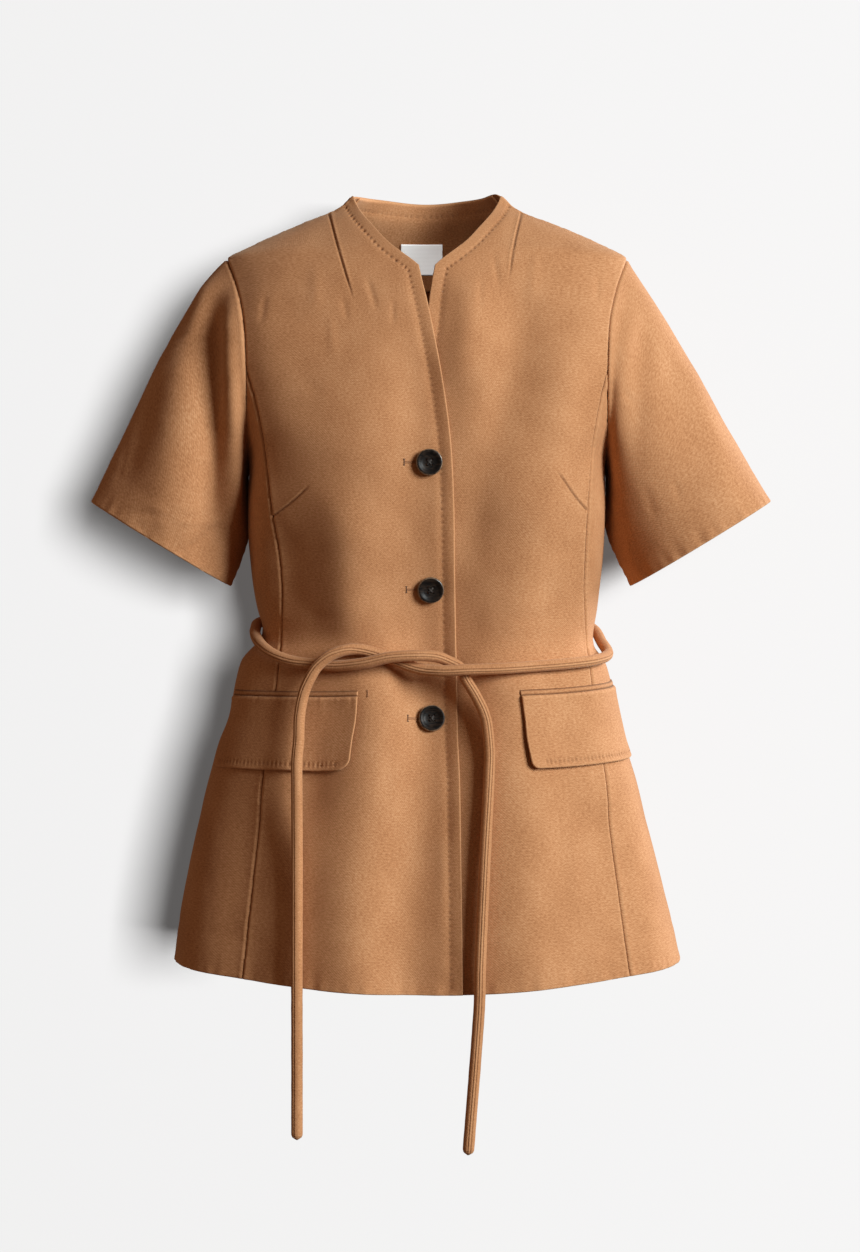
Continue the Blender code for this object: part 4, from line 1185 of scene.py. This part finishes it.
def row_stitches(place, side, row, line, shaped):
    """Paths of the stitches of a row that follows one side of a panel, sunk into their dimples."""
    count = len(line)
    edge = np.linspace(0, 1, count)
    first = side in ("low", "first")

    def at(share):
        inset = share if first else 1 - share
        return place(edge, inset) if side in ("low", "high") else place(inset, edge)

    def short_of_row(share):
        return near(at(share)[0], line)[0] < row.inset

    points, normals = at(halve(np.zeros(count), np.full(count, ROW_DEEPEST), short_of_row, ROW_HALVINGS))
    along = near(points, line)[1]
    order = np.argsort(along, kind="stable")
    start, end = row.margin + ROW_FADE, along.max() - row.margin - ROW_FADE
    order = order[(along[order] > start) & (along[order] < end)]
    points, normals, along = points[order], normals[order], along[order]
    soft, relief, _, _ = shaped(points)
    peaks = stitch_wave(along, row.step)
    paths = []
    for index in range(1, len(order) - 1):
        peak = peaks[index]
        if peak > STITCH_PEAK and peak >= peaks[index - 1] and peak > peaks[index + 1]:
            spots = along[index] + STITCH_LENGTH * STITCH_PLACES
            lift = soft[index] + relief[index] + THREAD_RADIUS * STITCH_LIFTS
            path = np.stack([np.interp(spots, along, points[:, axis]) for axis in range(3)], axis=1)
            paths.append(path + normals[index] * lift[:, None])
    return paths


def carried(tangents):
    """Directions across a path, carried along it without twisting."""
    normal = np.cross(tangents[0], (0.0, 0.0, 1.0))
    if np.linalg.norm(normal) < NEAR_UPRIGHT:
        normal = np.cross(tangents[0], (0.0, 1.0, 0.0))
    normals = []
    for tangent in tangents:
        normal = normal - tangent * (normal @ tangent)
        normal = normal / np.linalg.norm(normal)
        normals.append(normal)
    return np.array(normals)


def tube_rings(path, radius, turns, outward=None):
    """Rings of points round a path at the given turns, counted from outward or from a carried direction."""
    tangents = unit(np.gradient(path, axis=0))
    if outward is None:
        normals = carried(tangents)
    else:
        normals = unit(outward - tangents * (outward * tangents).sum(1, keepdims=True))
    others = np.cross(tangents, normals)
    across = normals[:, None] * np.cos(turns)[..., None] + others[:, None] * np.sin(turns)[..., None]
    return path[:, None] + across * radius[..., None]


def tube_faces(rings, sides, first=0):
    """Faces of a tube of rings, closed at both ends."""
    faces = []
    for ring in range(rings - 1):
        for i in range(sides):
            a, b = first + ring * sides + i, first + ring * sides + (i + 1) % sides
            faces.append((a, b, b + sides, a + sides))
    faces.append(tuple(first + i for i in reversed(range(sides))))
    faces.append(tuple(first + (rings - 1) * sides + i for i in range(sides)))
    return faces


def joined_tubes(name, tubes, sides):
    """One mesh of several tubes, each given as (path, radii)."""
    points, faces = [], []
    turns = np.linspace(0, math.tau, sides, endpoint=False)[None, :]
    for path, radii in tubes:
        rings = tube_rings(np.asarray(path, float), np.asarray(radii)[:, None], turns)
        faces += tube_faces(len(path), sides, sum(len(block) for block in points))
        points.append(rings.reshape(-1, 3))
    mesh = bpy.data.meshes.new(name)
    mesh.from_pydata(np.concatenate(points).tolist(), [], faces)
    mesh.shade_smooth()
    mesh.update()
    return mesh


def belt_point(bearing, height, layer):
    """Centre of the belt where it lies on the body, or a layer out on the belt's other half."""
    held = max(height, HEM_SIDE - HEM_FRONT_DROP)
    reach = BELT_DIAMETER / 2 + BELT_CLEARANCE
    radius = 0.0
    for share in BELT_TOUCHES:
        touched = held + share * reach
        out = reach * math.sqrt(1 - share**2) + layer * BELT_LAYER
        out += max(float(fold_rise(touched, bearing)), 0.0)
        radius = max(radius, float(radius_at(touched, bearing, out)))
    x = float(smooth(MIDDLES, held)) + radius * math.sin(bearing)
    return np.array((x, -radius * math.cos(bearing), height))


def belt_route(wrap, run):
    """Route points of one half of the belt, from the centre back to its free end."""
    points = [belt_point(math.radians(bearing), height, 0) for bearing, height in wrap]
    for x, height, layer in run:
        held = max(height, HEM_SIDE - HEM_FRONT_DROP)
        bearing = float(bearing_at(held, x))
        for _ in range(BELT_ROUNDS):
            off = x - belt_point(bearing, height, layer)[0]
            bearing += off / float(radius_at(held, bearing))
        points.append(belt_point(bearing, height, layer))
    return points


# The drawn belt: ring spacing, how many rings its lift is blended over, the turns round a ring from its
# outer side, finer where the two seam grooves lie, how it twists and swells, and how far its end rounds
BELT_STEP = 0.0022
BELT_BLEND = 8
BELT_SEAM = (-0.62, 0.74)
BELT_SEAM_SIDES = np.linspace(*BELT_SEAM, 23)
BELT_OTHER_SIDES = np.linspace(BELT_SEAM[1], math.tau + BELT_SEAM[0], 16)[1:-1]
BELT_TURNS = np.concatenate([BELT_SEAM_SIDES, BELT_OTHER_SIDES])
BELT_GROOVES = (-0.20, 0.32)
BELT_GROOVE_DEPTH = 0.00060
BELT_GROOVE_HALF = 0.085
# The ridge between the belt's seam grooves gets a painted highlight, and the grooves painted shade.
BELT_HIGHLIGHT = 0.85
BELT_PAINTED_SHADE = 0.75
BELT_TWIST = (0.16, 0.08)
BELT_TWIST_LENGTH = (0.21, 0.08)
BELT_SWELL = 0.012
BELT_SWELL_LENGTH = 0.05
BELT_END = 0.0052
BELT_END_LEAST = 0.02


def make_belt(name, wrap, run, material):
    """One half of the tie belt: a round sewn tube with two seam grooves along it and a rounded end."""
    path = through(belt_route(wrap, run), BELT_STEP)
    outward = unit((path - np.array((smooth(MIDDLES, path[0, 2]), 0.0, 0.0))) * (1.0, 1.0, 0.0))
    lift = np.pad(np.maximum(crease_rise(path, "body"), 0.0), BELT_BLEND, mode="edge")
    window = 2 * BELT_BLEND + 1
    path = path + outward * np.convolve(lift, np.full(window, 1 / window), mode="valid")[:, None]
    along = walked_along(path)
    length = along[-1]
    spin = BELT_TWIST[0] * np.sin(along / BELT_TWIST_LENGTH[0] + len(name))
    spin = spin + BELT_TWIST[1] * np.sin(along / BELT_TWIST_LENGTH[1])
    groove = sum(bump(BELT_TURNS - turn, BELT_GROOVE_HALF) for turn in BELT_GROOVES)
    ridge = bump(BELT_TURNS - np.mean(BELT_GROOVES), 2 * BELT_GROOVE_HALF)
    swell = 1 + BELT_SWELL * wander(along, len(name), BELT_SWELL_LENGTH)
    left = np.clip((length - along) / BELT_END, 0.0, 1.0)
    rounded = np.sqrt(np.maximum(1 - (1 - left) ** 2, BELT_END_LEAST))
    radius = (BELT_DIAMETER / 2 * swell[:, None] - BELT_GROOVE_DEPTH * groove) * rounded[:, None]
    points = tube_rings(path, radius, BELT_TURNS + spin[:, None], outward).reshape(-1, 3)
    sides = len(BELT_TURNS)
    uv = np.stack([np.tile(BELT_TURNS * BELT_DIAMETER / 2, len(path)), np.repeat(along, sides)], axis=1)
    # Painted highlight on the ridge and painted shade in the grooves.
    rub = np.tile(BELT_HIGHLIGHT * ridge - BELT_PAINTED_SHADE * groove, len(path))
    mesh = cloth_mesh(name, points, tube_faces(len(path), sides), uv, rub)
    piece = add_piece(name, mesh, material, node=name)


# Buttons, as turned profiles of (share of the radius, height), and their sewing
BUTTON_PROFILE = (
    (0.01, 0.0021), (0.30, 0.0021), (0.50, 0.0023), (0.60, 0.0027), (0.68, 0.0033), (0.76, 0.0038),
    (0.85, 0.0041), (0.92, 0.0040), (0.97, 0.0035), (0.995, 0.0027), (1.0, 0.0020), (0.985, 0.0013),
    (0.93, 0.0005), (0.80, 0.0), (0.01, 0.0),
)
BUTTON_SIDES = 72
BUTTON_RIM = (0.93, 1.1)
HOLE_RADIUS = 0.0011
HOLE_SPACING = 0.0042
HOLE_SIDES = 20
DRILL_LENGTH = 0.02
SHARP_ANGLE = math.radians(40)
# A strand of the sewing, as shares of the way between two holes and heights over the button's middle
SEWING_RADIUS = 0.00032
SEWING_SPREAD = 1.1
SEWING_SHARES = np.array((0.0, 0.06, 0.25, 0.5, 0.75, 0.94, 1.0))
SEWING_HEIGHTS = np.array((-0.0015, 0.0001, 0.0005, 0.0006, 0.0005, 0.0001, -0.0015))
SEWING_CROSSING = 0.0004
SHANK_RADIUS = 0.0022
SHANK_HEIGHTS = (-0.0016, -0.0006, 0.0004)

# Buttonholes: how far they reach from the button's middle, their lips and the tack at their end
BUTTONHOLE_REACH = 0.0212
LIP_RADIUS = 0.00042
LIP_SPACING = 0.00115
PURL_STEP = 0.0009
PURL_LEAST = 0.82
PURL_SWELL = 0.30
PURL_END = 0.4
BAR_STEP = 0.00022
BAR_RISE = 0.4
CORD_SIDES = 8
TACK_HEIGHT = 0.0052
TACK_FOOT = 0.0018
TACK_RADIUS = 0.00042
# A tack beside the inner end of the right pocket
POCKET_TACK = (-0.0500, -0.4225)


def on_front(x, height):
    """Places on the outside of the right front, with the cloth's soft movement, and their normals."""
    x, height = np.broadcast_arrays(np.asarray(x, float), np.asarray(height, float))
    points, normals = body_surface(height, bearing_at(height, x))
    return points + normals * draped(points, "body")[:, None], normals


def corded(path, radius):
    """A tube of wrapped thread along a path, given as (path, radii)."""
    radii = PURL_LEAST + PURL_SWELL * np.abs(np.sin(math.pi * walked_along(path) / PURL_STEP))
    radii = radius * radii
    radii[[0, -1]] *= PURL_END
    return path, radii


def front_bar(start, end, radius):
    """A wrapped bar of thread between two (x, height) places of the right front."""
    count = max(4, round(math.dist(start, end) / BAR_STEP))
    x, height = np.linspace(start, end, count).T
    points, normals = on_front(x, height)
    return corded(points + normals * radius * BAR_RISE, radius)


def tack_bars(x, height):
    """A tack shaped like an upright bar with two short feet."""
    half, foot = TACK_HEIGHT / 2, TACK_FOOT / 2
    ends = (((x, height - half), (x, height + half)),)
    ends += tuple(((x - foot, height + side * half), (x + foot, height + side * half)) for side in (-1, 1))
    return [front_bar(start, end, TACK_RADIUS) for start, end in ends]


def add_cords(name, tubes, material):
    add_piece(name, joined_tubes(name, tubes, CORD_SIDES), material)


def make_buttonhole(button, lip_material, tack_material):
    """A buttonhole beside a button: two purled lips and a tack at the far end."""
    far = button.x - BUTTONHOLE_REACH
    levels = [button.height + side * LIP_SPACING / 2 for side in (-1, 1)]
    lips = [front_bar((far, level), (button.x, level), LIP_RADIUS) for level in levels]
    add_cords(button.name.replace("button", "buttonhole"), lips, lip_material)
    add_cords(button.name.replace("button", "tack"), tack_bars(far, button.height), tack_material)


def turned_mesh(name):
    """A button turned from its profile, without its holes."""
    shares, heights = np.array(BUTTON_PROFILE).T
    turns = np.linspace(0, math.tau, BUTTON_SIDES, endpoint=False)
    radii = (shares * BUTTON_RADIUS)[:, None]
    rings = np.stack([radii * np.cos(turns), radii * np.sin(turns), heights[:, None] + 0 * turns], axis=-1)
    mesh = bpy.data.meshes.new(name)
    mesh.from_pydata(rings.reshape(-1, 3).tolist(), [], tube_faces(len(shares), BUTTON_SIDES))
    bm = bmesh.new()
    bm.from_mesh(mesh)
    bmesh.ops.recalc_face_normals(bm, faces=bm.faces)
    bm.to_mesh(mesh)
    bm.free()
    return mesh


def hole_places():
    turns = np.radians(45 + 90 * np.arange(4))
    return np.stack([np.cos(turns), np.sin(turns)], axis=1) * HOLE_SPACING / math.sqrt(2)


def drilled_mesh(name):
    """The turned button with its four holes cut through."""
    blank = bpy.data.objects.new(name, turned_mesh(name))
    bm = bmesh.new()
    for x, y in hole_places():
        bmesh.ops.create_cone(
            bm,
            cap_ends=True,
            segments=HOLE_SIDES,
            radius1=HOLE_RADIUS,
            radius2=HOLE_RADIUS,
            depth=DRILL_LENGTH,
            matrix=Matrix.Translation((x, y, 0.0)),
        )
    drill_mesh = bpy.data.meshes.new(name + "_drill")
    bm.to_mesh(drill_mesh)
    bm.free()
    drill = bpy.data.objects.new(name + "_drill", drill_mesh)
    for item in (blank, drill):
        link(item)
    cut = blank.modifiers.new("holes", "BOOLEAN")
    cut.operation = "DIFFERENCE"
    cut.object = drill
    bpy.context.view_layer.update()
    mesh = bpy.data.meshes.new_from_object(blank.evaluated_get(bpy.context.evaluated_depsgraph_get()))
    for item in (blank, drill):
        bpy.data.objects.remove(item, do_unlink=True)
    mesh.shade_smooth()
    mesh.set_sharp_from_angle(angle=SHARP_ANGLE)
    return mesh


def sewing_tubes():
    """The thread through a button's holes, in two crossing pairs of strands, and its shank below."""
    tubes = []
    for start, end in ((0, 2), (1, 3)):
        a, b = hole_places()[[start, end]]
        across = np.array((b[1] - a[1], a[0] - b[0])) / np.linalg.norm(b - a)
        crossing = SEWING_CROSSING * (start == 1) * (SEWING_SHARES == 0.5)
        heights = BUTTON_PROFILE[0][1] + (SEWING_HEIGHTS + crossing)
        for side in (-1, 1):
            flat = blend(a, b, SEWING_SHARES[:, None]) + across * side * SEWING_RADIUS * SEWING_SPREAD
            tubes.append((np.column_stack([flat, heights]), np.full(len(heights), SEWING_RADIUS)))
    shank = [(0.0, 0.0, height) for height in SHANK_HEIGHTS]
    tubes.append((shank, np.full(len(shank), SHANK_RADIUS)))
    return tubes


def make_button(button, mesh, body_material, rim_material, sewing):
    """A drilled button with its polished rim, sewn on the right front."""
    points, normals = on_front([button.x], [button.height])
    seat = Vector(points[0] + normals[0] * LAID_GAP)
    place = Matrix.Translation(seat) @ Vector(normals[0]).to_track_quat("Z", "Y").to_matrix().to_4x4()
    turned = mesh.copy()
    low, high = (share * BUTTON_RADIUS for share in BUTTON_RIM)
    for face in turned.polygons:
        face.material_index = int(low < face.center.xy.length < high)
    turned.transform(place)
    add_piece(button.name, turned, body_material, button.name)
    turned.materials.append(rim_material)
    threads = joined_tubes(button.name + "_thread", sewing_tubes(), CORD_SIDES)
    threads.transform(place)
    add_piece(button.name + "_thread", threads, sewing)


# Materials: the cloth's colours, the scales of its patterns, and their shares in its shade and relief
CAMEL = (0.492, 0.222, 0.0975, 1.0)
CAMEL_DARK = (0.366, 0.150, 0.060, 1.0)
CAMEL_LIGHT = (0.603, 0.305, 0.150, 1.0)
# The lighter colour marks worn edges and painted highlights; the darkest one is painted shade in seams,
# grooves, darts and stitch dimples.
CAMEL_WORN_AND_HIGHLIT = (0.67, 0.36, 0.18, 1.0)
CAMEL_SHADED = (0.100, 0.034, 0.011, 1.0)
WHITE = (1.0, 1.0, 1.0, 1.0)
WEAR_AND_PAINTED_LIGHT_COLOURS = ((0.5, CAMEL_WORN_AND_HIGHLIT), (-0.9, CAMEL_SHADED))
GRAIN_SCALE = (380.0, 760.0, 1.0)
MOTTLE_SCALE = (28.0, 22.0, 1.0)
TWILL_SCALE = (290.0, 290.0, 1.0)
SHADE_SHARES = (0.72, 0.28)
RELIEF_SHARES = (0.45, 0.9)
THREAD_SHADES = (0.72, 1.28)


def new_material(name):
    material = bpy.data.materials.new(name)
    material.use_nodes = True
    return material, material.node_tree, material.node_tree.nodes["Principled BSDF"]


def feed(tree, node, inputs):
    """Give a node's inputs their values, or the sockets that feed them."""
    for name, value in inputs.items():
        if isinstance(value, bpy.types.NodeSocket):
            tree.links.new(value, node.inputs[name])
        else:
            node.inputs[name].default_value = value


def add_node(tree, kind, inputs=None):
    node = tree.nodes.new("ShaderNode" + kind)
    feed(tree, node, inputs or {})
    return node


def cloth_places(tree):
    node = add_node(tree, "UVMap")
    node.uv_map = "cloth"
    return node.outputs["UV"]


def scaled(tree, vector, scale):
    node = add_node(tree, "VectorMath", {0: vector, 1: scale})
    node.operation = "MULTIPLY"
    return node.outputs["Vector"]


def noise(tree, inputs):
    return add_node(tree, "TexNoise", inputs).outputs["Fac"]


def bands(tree, direction, inputs):
    node = add_node(tree, "TexWave", inputs)
    node.bands_direction = direction
    return node.outputs["Fac"]


def combined(tree, operation, first, second, clamp=False):
    """The sum or the product of two values, each a number or a socket."""
    node = add_node(tree, "Math", {0: first, 1: second})
    node.operation = operation
    node.use_clamp = clamp
    return node.outputs["Value"]


def weighed(tree, values, shares):
    """Two values added, each by its share."""
    parts = [combined(tree, "MULTIPLY", value, share) for value, share in zip(values, shares)]
    return combined(tree, "ADD", *parts)


def ramp(tree, shade, low, high, middle=None):
    """The colour for a shade, between (place, colour) stops."""
    node = add_node(tree, "ValToRGB", {"Fac": shade})
    stops = node.color_ramp.elements
    for index, (place, colour) in enumerate((low, high)):
        stops[index].position = place
        stops[index].color = colour
    if middle:
        stops.new(middle[0]).color = middle[1]
    return node.outputs["Color"]


def relief(tree, height, strength, distance):
    node = add_node(tree, "Bump", {"Strength": strength, "Distance": distance, "Height": height})
    return node.outputs["Normal"]


def choose(tree, end, by, first, second):
    """Show one shader or the other at a tree's end, by a socket."""
    node = add_node(tree, "MixShader", {"Fac": by, 1: first, 2: second})
    feed(tree, tree.nodes[end], {"Surface": node.outputs["Shader"]})


def cloth_material(name):
    """Camel twill with a short nap: grain, mottling, edges lighter by wear and painted highlight, and
    painted shade.
    """
    material, tree, shader = new_material(name)
    uv = cloth_places(tree)
    grain, mottle = (
        noise(tree, {"Scale": 1.0, "Detail": 3.0, "Roughness": rough, "Vector": scaled(tree, uv, scale)})
        for rough, scale in ((0.65, GRAIN_SCALE), (0.55, MOTTLE_SCALE))
    )
    wave = {"Scale": 1.0, "Distortion": 1.6, "Detail": 1.0, "Vector": scaled(tree, uv, TWILL_SCALE)}
    twill = bands(tree, "DIAGONAL", wave)
    shade = weighed(tree, (grain, mottle), SHADE_SHARES)
    colour = ramp(tree, shade, (0.34, CAMEL_DARK), (0.66, CAMEL_LIGHT), (0.50, CAMEL))
    rub = add_node(tree, "Attribute")
    rub.attribute_name = "rub"
    # Each point's value mixes in the lighter colour for wear and painted highlight, or the shaded one for
    # painted shade.
    for share, other in WEAR_AND_PAINTED_LIGHT_COLOURS:
        mix = add_node(tree, "Mix")
        mix.data_type = "RGBA"
        factor = combined(tree, "MULTIPLY", rub.outputs["Fac"], share, clamp=True)
        feed(tree, mix, {"Factor": factor, "A": colour, "B": other})
        colour = mix.outputs["Result"]
    height = weighed(tree, (twill, grain), RELIEF_SHARES)
    finish = {
        "Base Color": colour,
        "Normal": relief(tree, height, strength=0.35, distance=0.0004),
        "Roughness": 0.86,
        "Specular IOR Level": 0.22,
        "Sheen Weight": 0.22,
        "Sheen Roughness": 0.45,
        "Sheen Tint": (1.0, 0.80, 0.60, 1.0),
    }
    feed(tree, shader, finish)
    return material


def streaked_material(name, streak, low, high, finish, stretch=None):
    """A material coloured by noise in space, between two (place, colour) stops, with a finish."""
    material, tree, shader = new_material(name)
    place = add_node(tree, "TexCoord").outputs["Object"]
    if stretch:
        place = scaled(tree, place, stretch)
    colour = ramp(tree, noise(tree, {**streak, "Vector": place}), low, high)
    feed(tree, shader, {"Base Color": colour, **finish})
    return material


def thread_material(name, colour, roughness=0.7):
    """Twisted sewing thread."""
    low, high = ((*(min(1.0, share * part) for part in colour), 1.0) for share in THREAD_SHADES)
    finish = {"Roughness": roughness, "Sheen Weight": 0.15}
    return streaked_material(name, {"Scale": 2600.0, "Detail": 2.0}, (0.0, low), (1.0, high), finish)


def label_material(name):
    """White woven tape with fine ribs."""
    material, tree, shader = new_material(name)
    ribs = bands(tree, "Y", {"Scale": 260.0, "Distortion": 0.6, "Vector": cloth_places(tree)})
    colour = ramp(tree, ribs, (0.0, (0.86, 0.86, 0.85, 1.0)), (1.0, (0.94, 0.94, 0.93, 1.0)))
    normal = relief(tree, ribs, strength=0.3, distance=0.0002)
    feed(tree, shader, {"Base Color": colour, "Normal": normal, "Roughness": 0.62})
    return material


def stage_material(name, grey, glow, one_sided):
    """Matt backdrop paper that glows a little, clear from behind where it is one-sided."""
    material, tree, shader = new_material(name)
    finish = {
        "Base Color": (grey, grey, grey, 1.0),
        "Roughness": 1.0,
        "Specular IOR Level": 0.0,
        "Emission Color": WHITE,
        "Emission Strength": glow,
    }
    feed(tree, shader, finish)
    if one_sided:
        behind = add_node(tree, "NewGeometry").outputs["Backfacing"]
        clear = add_node(tree, "BsdfTransparent").outputs["BSDF"]
        choose(tree, "Material Output", behind, shader.outputs["BSDF"], clear)
    return material


def make_stage():
    """The camera, the wall and floor, the lamps with what each lights, and the light all round."""
    camera_data = bpy.data.cameras.new("camera")
    camera_data.lens = CAMERA_LENS
    camera_data.sensor_width = SENSOR
    camera = bpy.data.objects.new("camera", camera_data)
    camera.location = CAMERA_PLACE
    camera.rotation_euler = (math.pi / 2, 0.0, 0.0)
    link(camera)
    bpy.context.scene.camera = camera

    planes = {}
    for name, (place, turn, grey, glow) in STAGE_PLANES.items():
        bpy.ops.mesh.primitive_plane_add(size=STAGE_SIZE, location=place, rotation=turn)
        plane = planes[name] = bpy.context.object
        plane.name = name
        plane.data.materials.append(stage_material(name + "_paper", grey, glow, name == "wall"))
        plane.visible_diffuse = False
        plane.visible_glossy = False
        plane.visible_shadow = False
    only_wall, all_but_wall = (bpy.data.collections.new(name) for name in ("only_wall", "all_but_wall"))
    for group, state in ((only_wall, "INCLUDE"), (all_but_wall, "EXCLUDE")):
        group.objects.link(planes["wall"])
        group.collection_objects[0].light_linking.link_state = state

    for lamp_row in LAMPS:
        data = bpy.data.lights.new(lamp_row.name, "AREA")
        data.energy = lamp_row.power
        data.size = lamp_row.size
        data.color = lamp_row.colour
        lamp = bpy.data.objects.new(lamp_row.name, data)
        lamp.location = lamp_row.place
        lamp.rotation_euler = (LAMP_AIM - Vector(lamp_row.place)).to_track_quat("-Z", "Y").to_euler()
        lamp.visible_camera = False
        lamp.light_linking.receiver_collection = all_but_wall
        if lamp_row.name == "wall_lamp":
            lamp.light_linking.receiver_collection = only_wall
            lamp.light_linking.blocker_collection = wall_shadows
        elif lamp_row.name in lit_alone:
            lamp.light_linking.receiver_collection = lit_alone[lamp_row.name]
        link(lamp)

    world = bpy.data.worlds.new("studio")
    world.use_nodes = True
    bpy.context.scene.world = world
    tree = world.node_tree
    light, seen = tree.nodes["Background"], add_node(tree, "Background", WORLD_SEEN)
    feed(tree, light, WORLD_LIGHT)
    to_camera = add_node(tree, "LightPath").outputs["Is Camera Ray"]
    choose(tree, "World Output", to_camera, light.outputs["Background"], seen.outputs["Background"])
    bpy.context.scene.view_settings.view_transform = "Standard"


wall_shadows = bpy.data.collections.new("wall_shadows")
lit_alone = {name: bpy.data.collections.new(name) for name in LIT_ALONE}
make_stage()
camel = cloth_material("camel_twill")
horn = streaked_material(
    "dark_horn",
    {"Scale": 1.6, "Detail": 4.0, "Distortion": 1.2},
    (0.42, (0.0065, 0.0058, 0.0060, 1.0)),
    (0.78, (0.042, 0.026, 0.018, 1.0)),
    {"Roughness": 0.40, "Specular IOR Level": 0.14},
    stretch=(90.0, 90.0, 420.0),
)
rim = streaked_material(
    "horn_rim",
    {"Scale": 320.0, "Detail": 3.0},
    (0.35, (0.040, 0.026, 0.018, 1.0)),
    (0.75, (0.300, 0.195, 0.125, 1.0)),
    {"Roughness": 0.28, "Coat Weight": 0.5, "Coat Roughness": 0.12},
)
tape = label_material("white_tape")
# The camel thread is darker than the cloth as painted shade, so that stitches look sunk in shadowed
# dimples; the buttonholes and pocket tack share it.
thread = thread_material("camel_thread", (0.36, 0.150, 0.058))
dark_thread = thread_material("dark_thread", (0.030, 0.020, 0.016), 0.5)
tack_thread = thread_material("tack_thread", (0.120, 0.048, 0.019))

make_belt("belt_right", BELT_RIGHT_WRAP, BELT_RIGHT_RUN, camel)
make_belt("belt_left", BELT_LEFT_WRAP, BELT_LEFT_RUN, camel)

SIDES = ((-1, "right"), (1, "left"))
ALL_TURNED = dict.fromkeys(EDGE_SIDES, "turned")
for side, name in SIDES:
    outer, lap = ("first", "last") if side < 0 else ("last", "first")
    front = cloth_piece(
        "front_" + name,
        front_place(side),
        FRONT_SIZE,
        {"low": "hem", outer: "seam", lap: "turned"},
        camel,
        rows={lap: LAP_ROW},
    )
for side, name in SIDES:
    edges = {"low": "hem", "high": "seam", "first": "seam", "last": "seam"}
    panel = cloth_piece("side_" + name, side_place(side), SIDE_SIZE, edges, camel)
back = cloth_piece(
    "back",
    back_place,
    BACK_SIZE,
    {"low": "hem", "high": "turned", "first": "seam", "last": "seam"},
    camel,
    rows={"high": NECK_ROW},
    fine=FINE_HIDDEN,
)
for side, name in SIDES:
    edges = {"low": "seam", "high": "hem", "first": "seam", "last": "seam"}
    name = "sleeve_" + name
    sleeve = cloth_piece(name, sleeve_place(side), SLEEVE_SIZE, edges, camel, part=name)
facing = cloth_piece(
    "neck_facing",
    facing_place,
    FACING_SIZE,
    ALL_TURNED,
    camel,
    part=None,
    rows={"high": NECK_ROW},
    fine=FINE_HIDDEN,
)
label = cloth_piece(
    "label",
    label_place,
    (LABEL_X[1] - LABEL_X[0], LABEL_Z[1] - LABEL_Z[0]),
    ALL_TURNED,
    tape,
    part=None,
    thickness=LABEL_CLOTH,
)
for flap in FLAPS:
    piece = cloth_piece(
        "flap_" + flap.name,
        flap_place(flap),
        (FLAP_WIDTH, FLAP_DEPTH),
        {"low": "turned", "high": "seam", "first": "turned", "last": "turned"},
        camel,
        thickness=FLAP_CLOTH,
        rows={"low": FLAP_ROW},
    )
    piece = cloth_piece(
        "welt_" + flap.name,
        welt_place(flap),
        (FLAP_WIDTH, WELT_DEPTH),
        {"low": "pocket", "high": "pocket", "first": "turned", "last": "turned"},
        camel,
        thickness=WELT_CLOTH,
    )

button_mesh = drilled_mesh("button_blank")
for button in BUTTONS:
    make_button(button, button_mesh, horn, rim, dark_thread)
    make_buttonhole(button, thread, tack_thread)
add_cords("pocket_tack", tack_bars(*POCKET_TACK), thread)
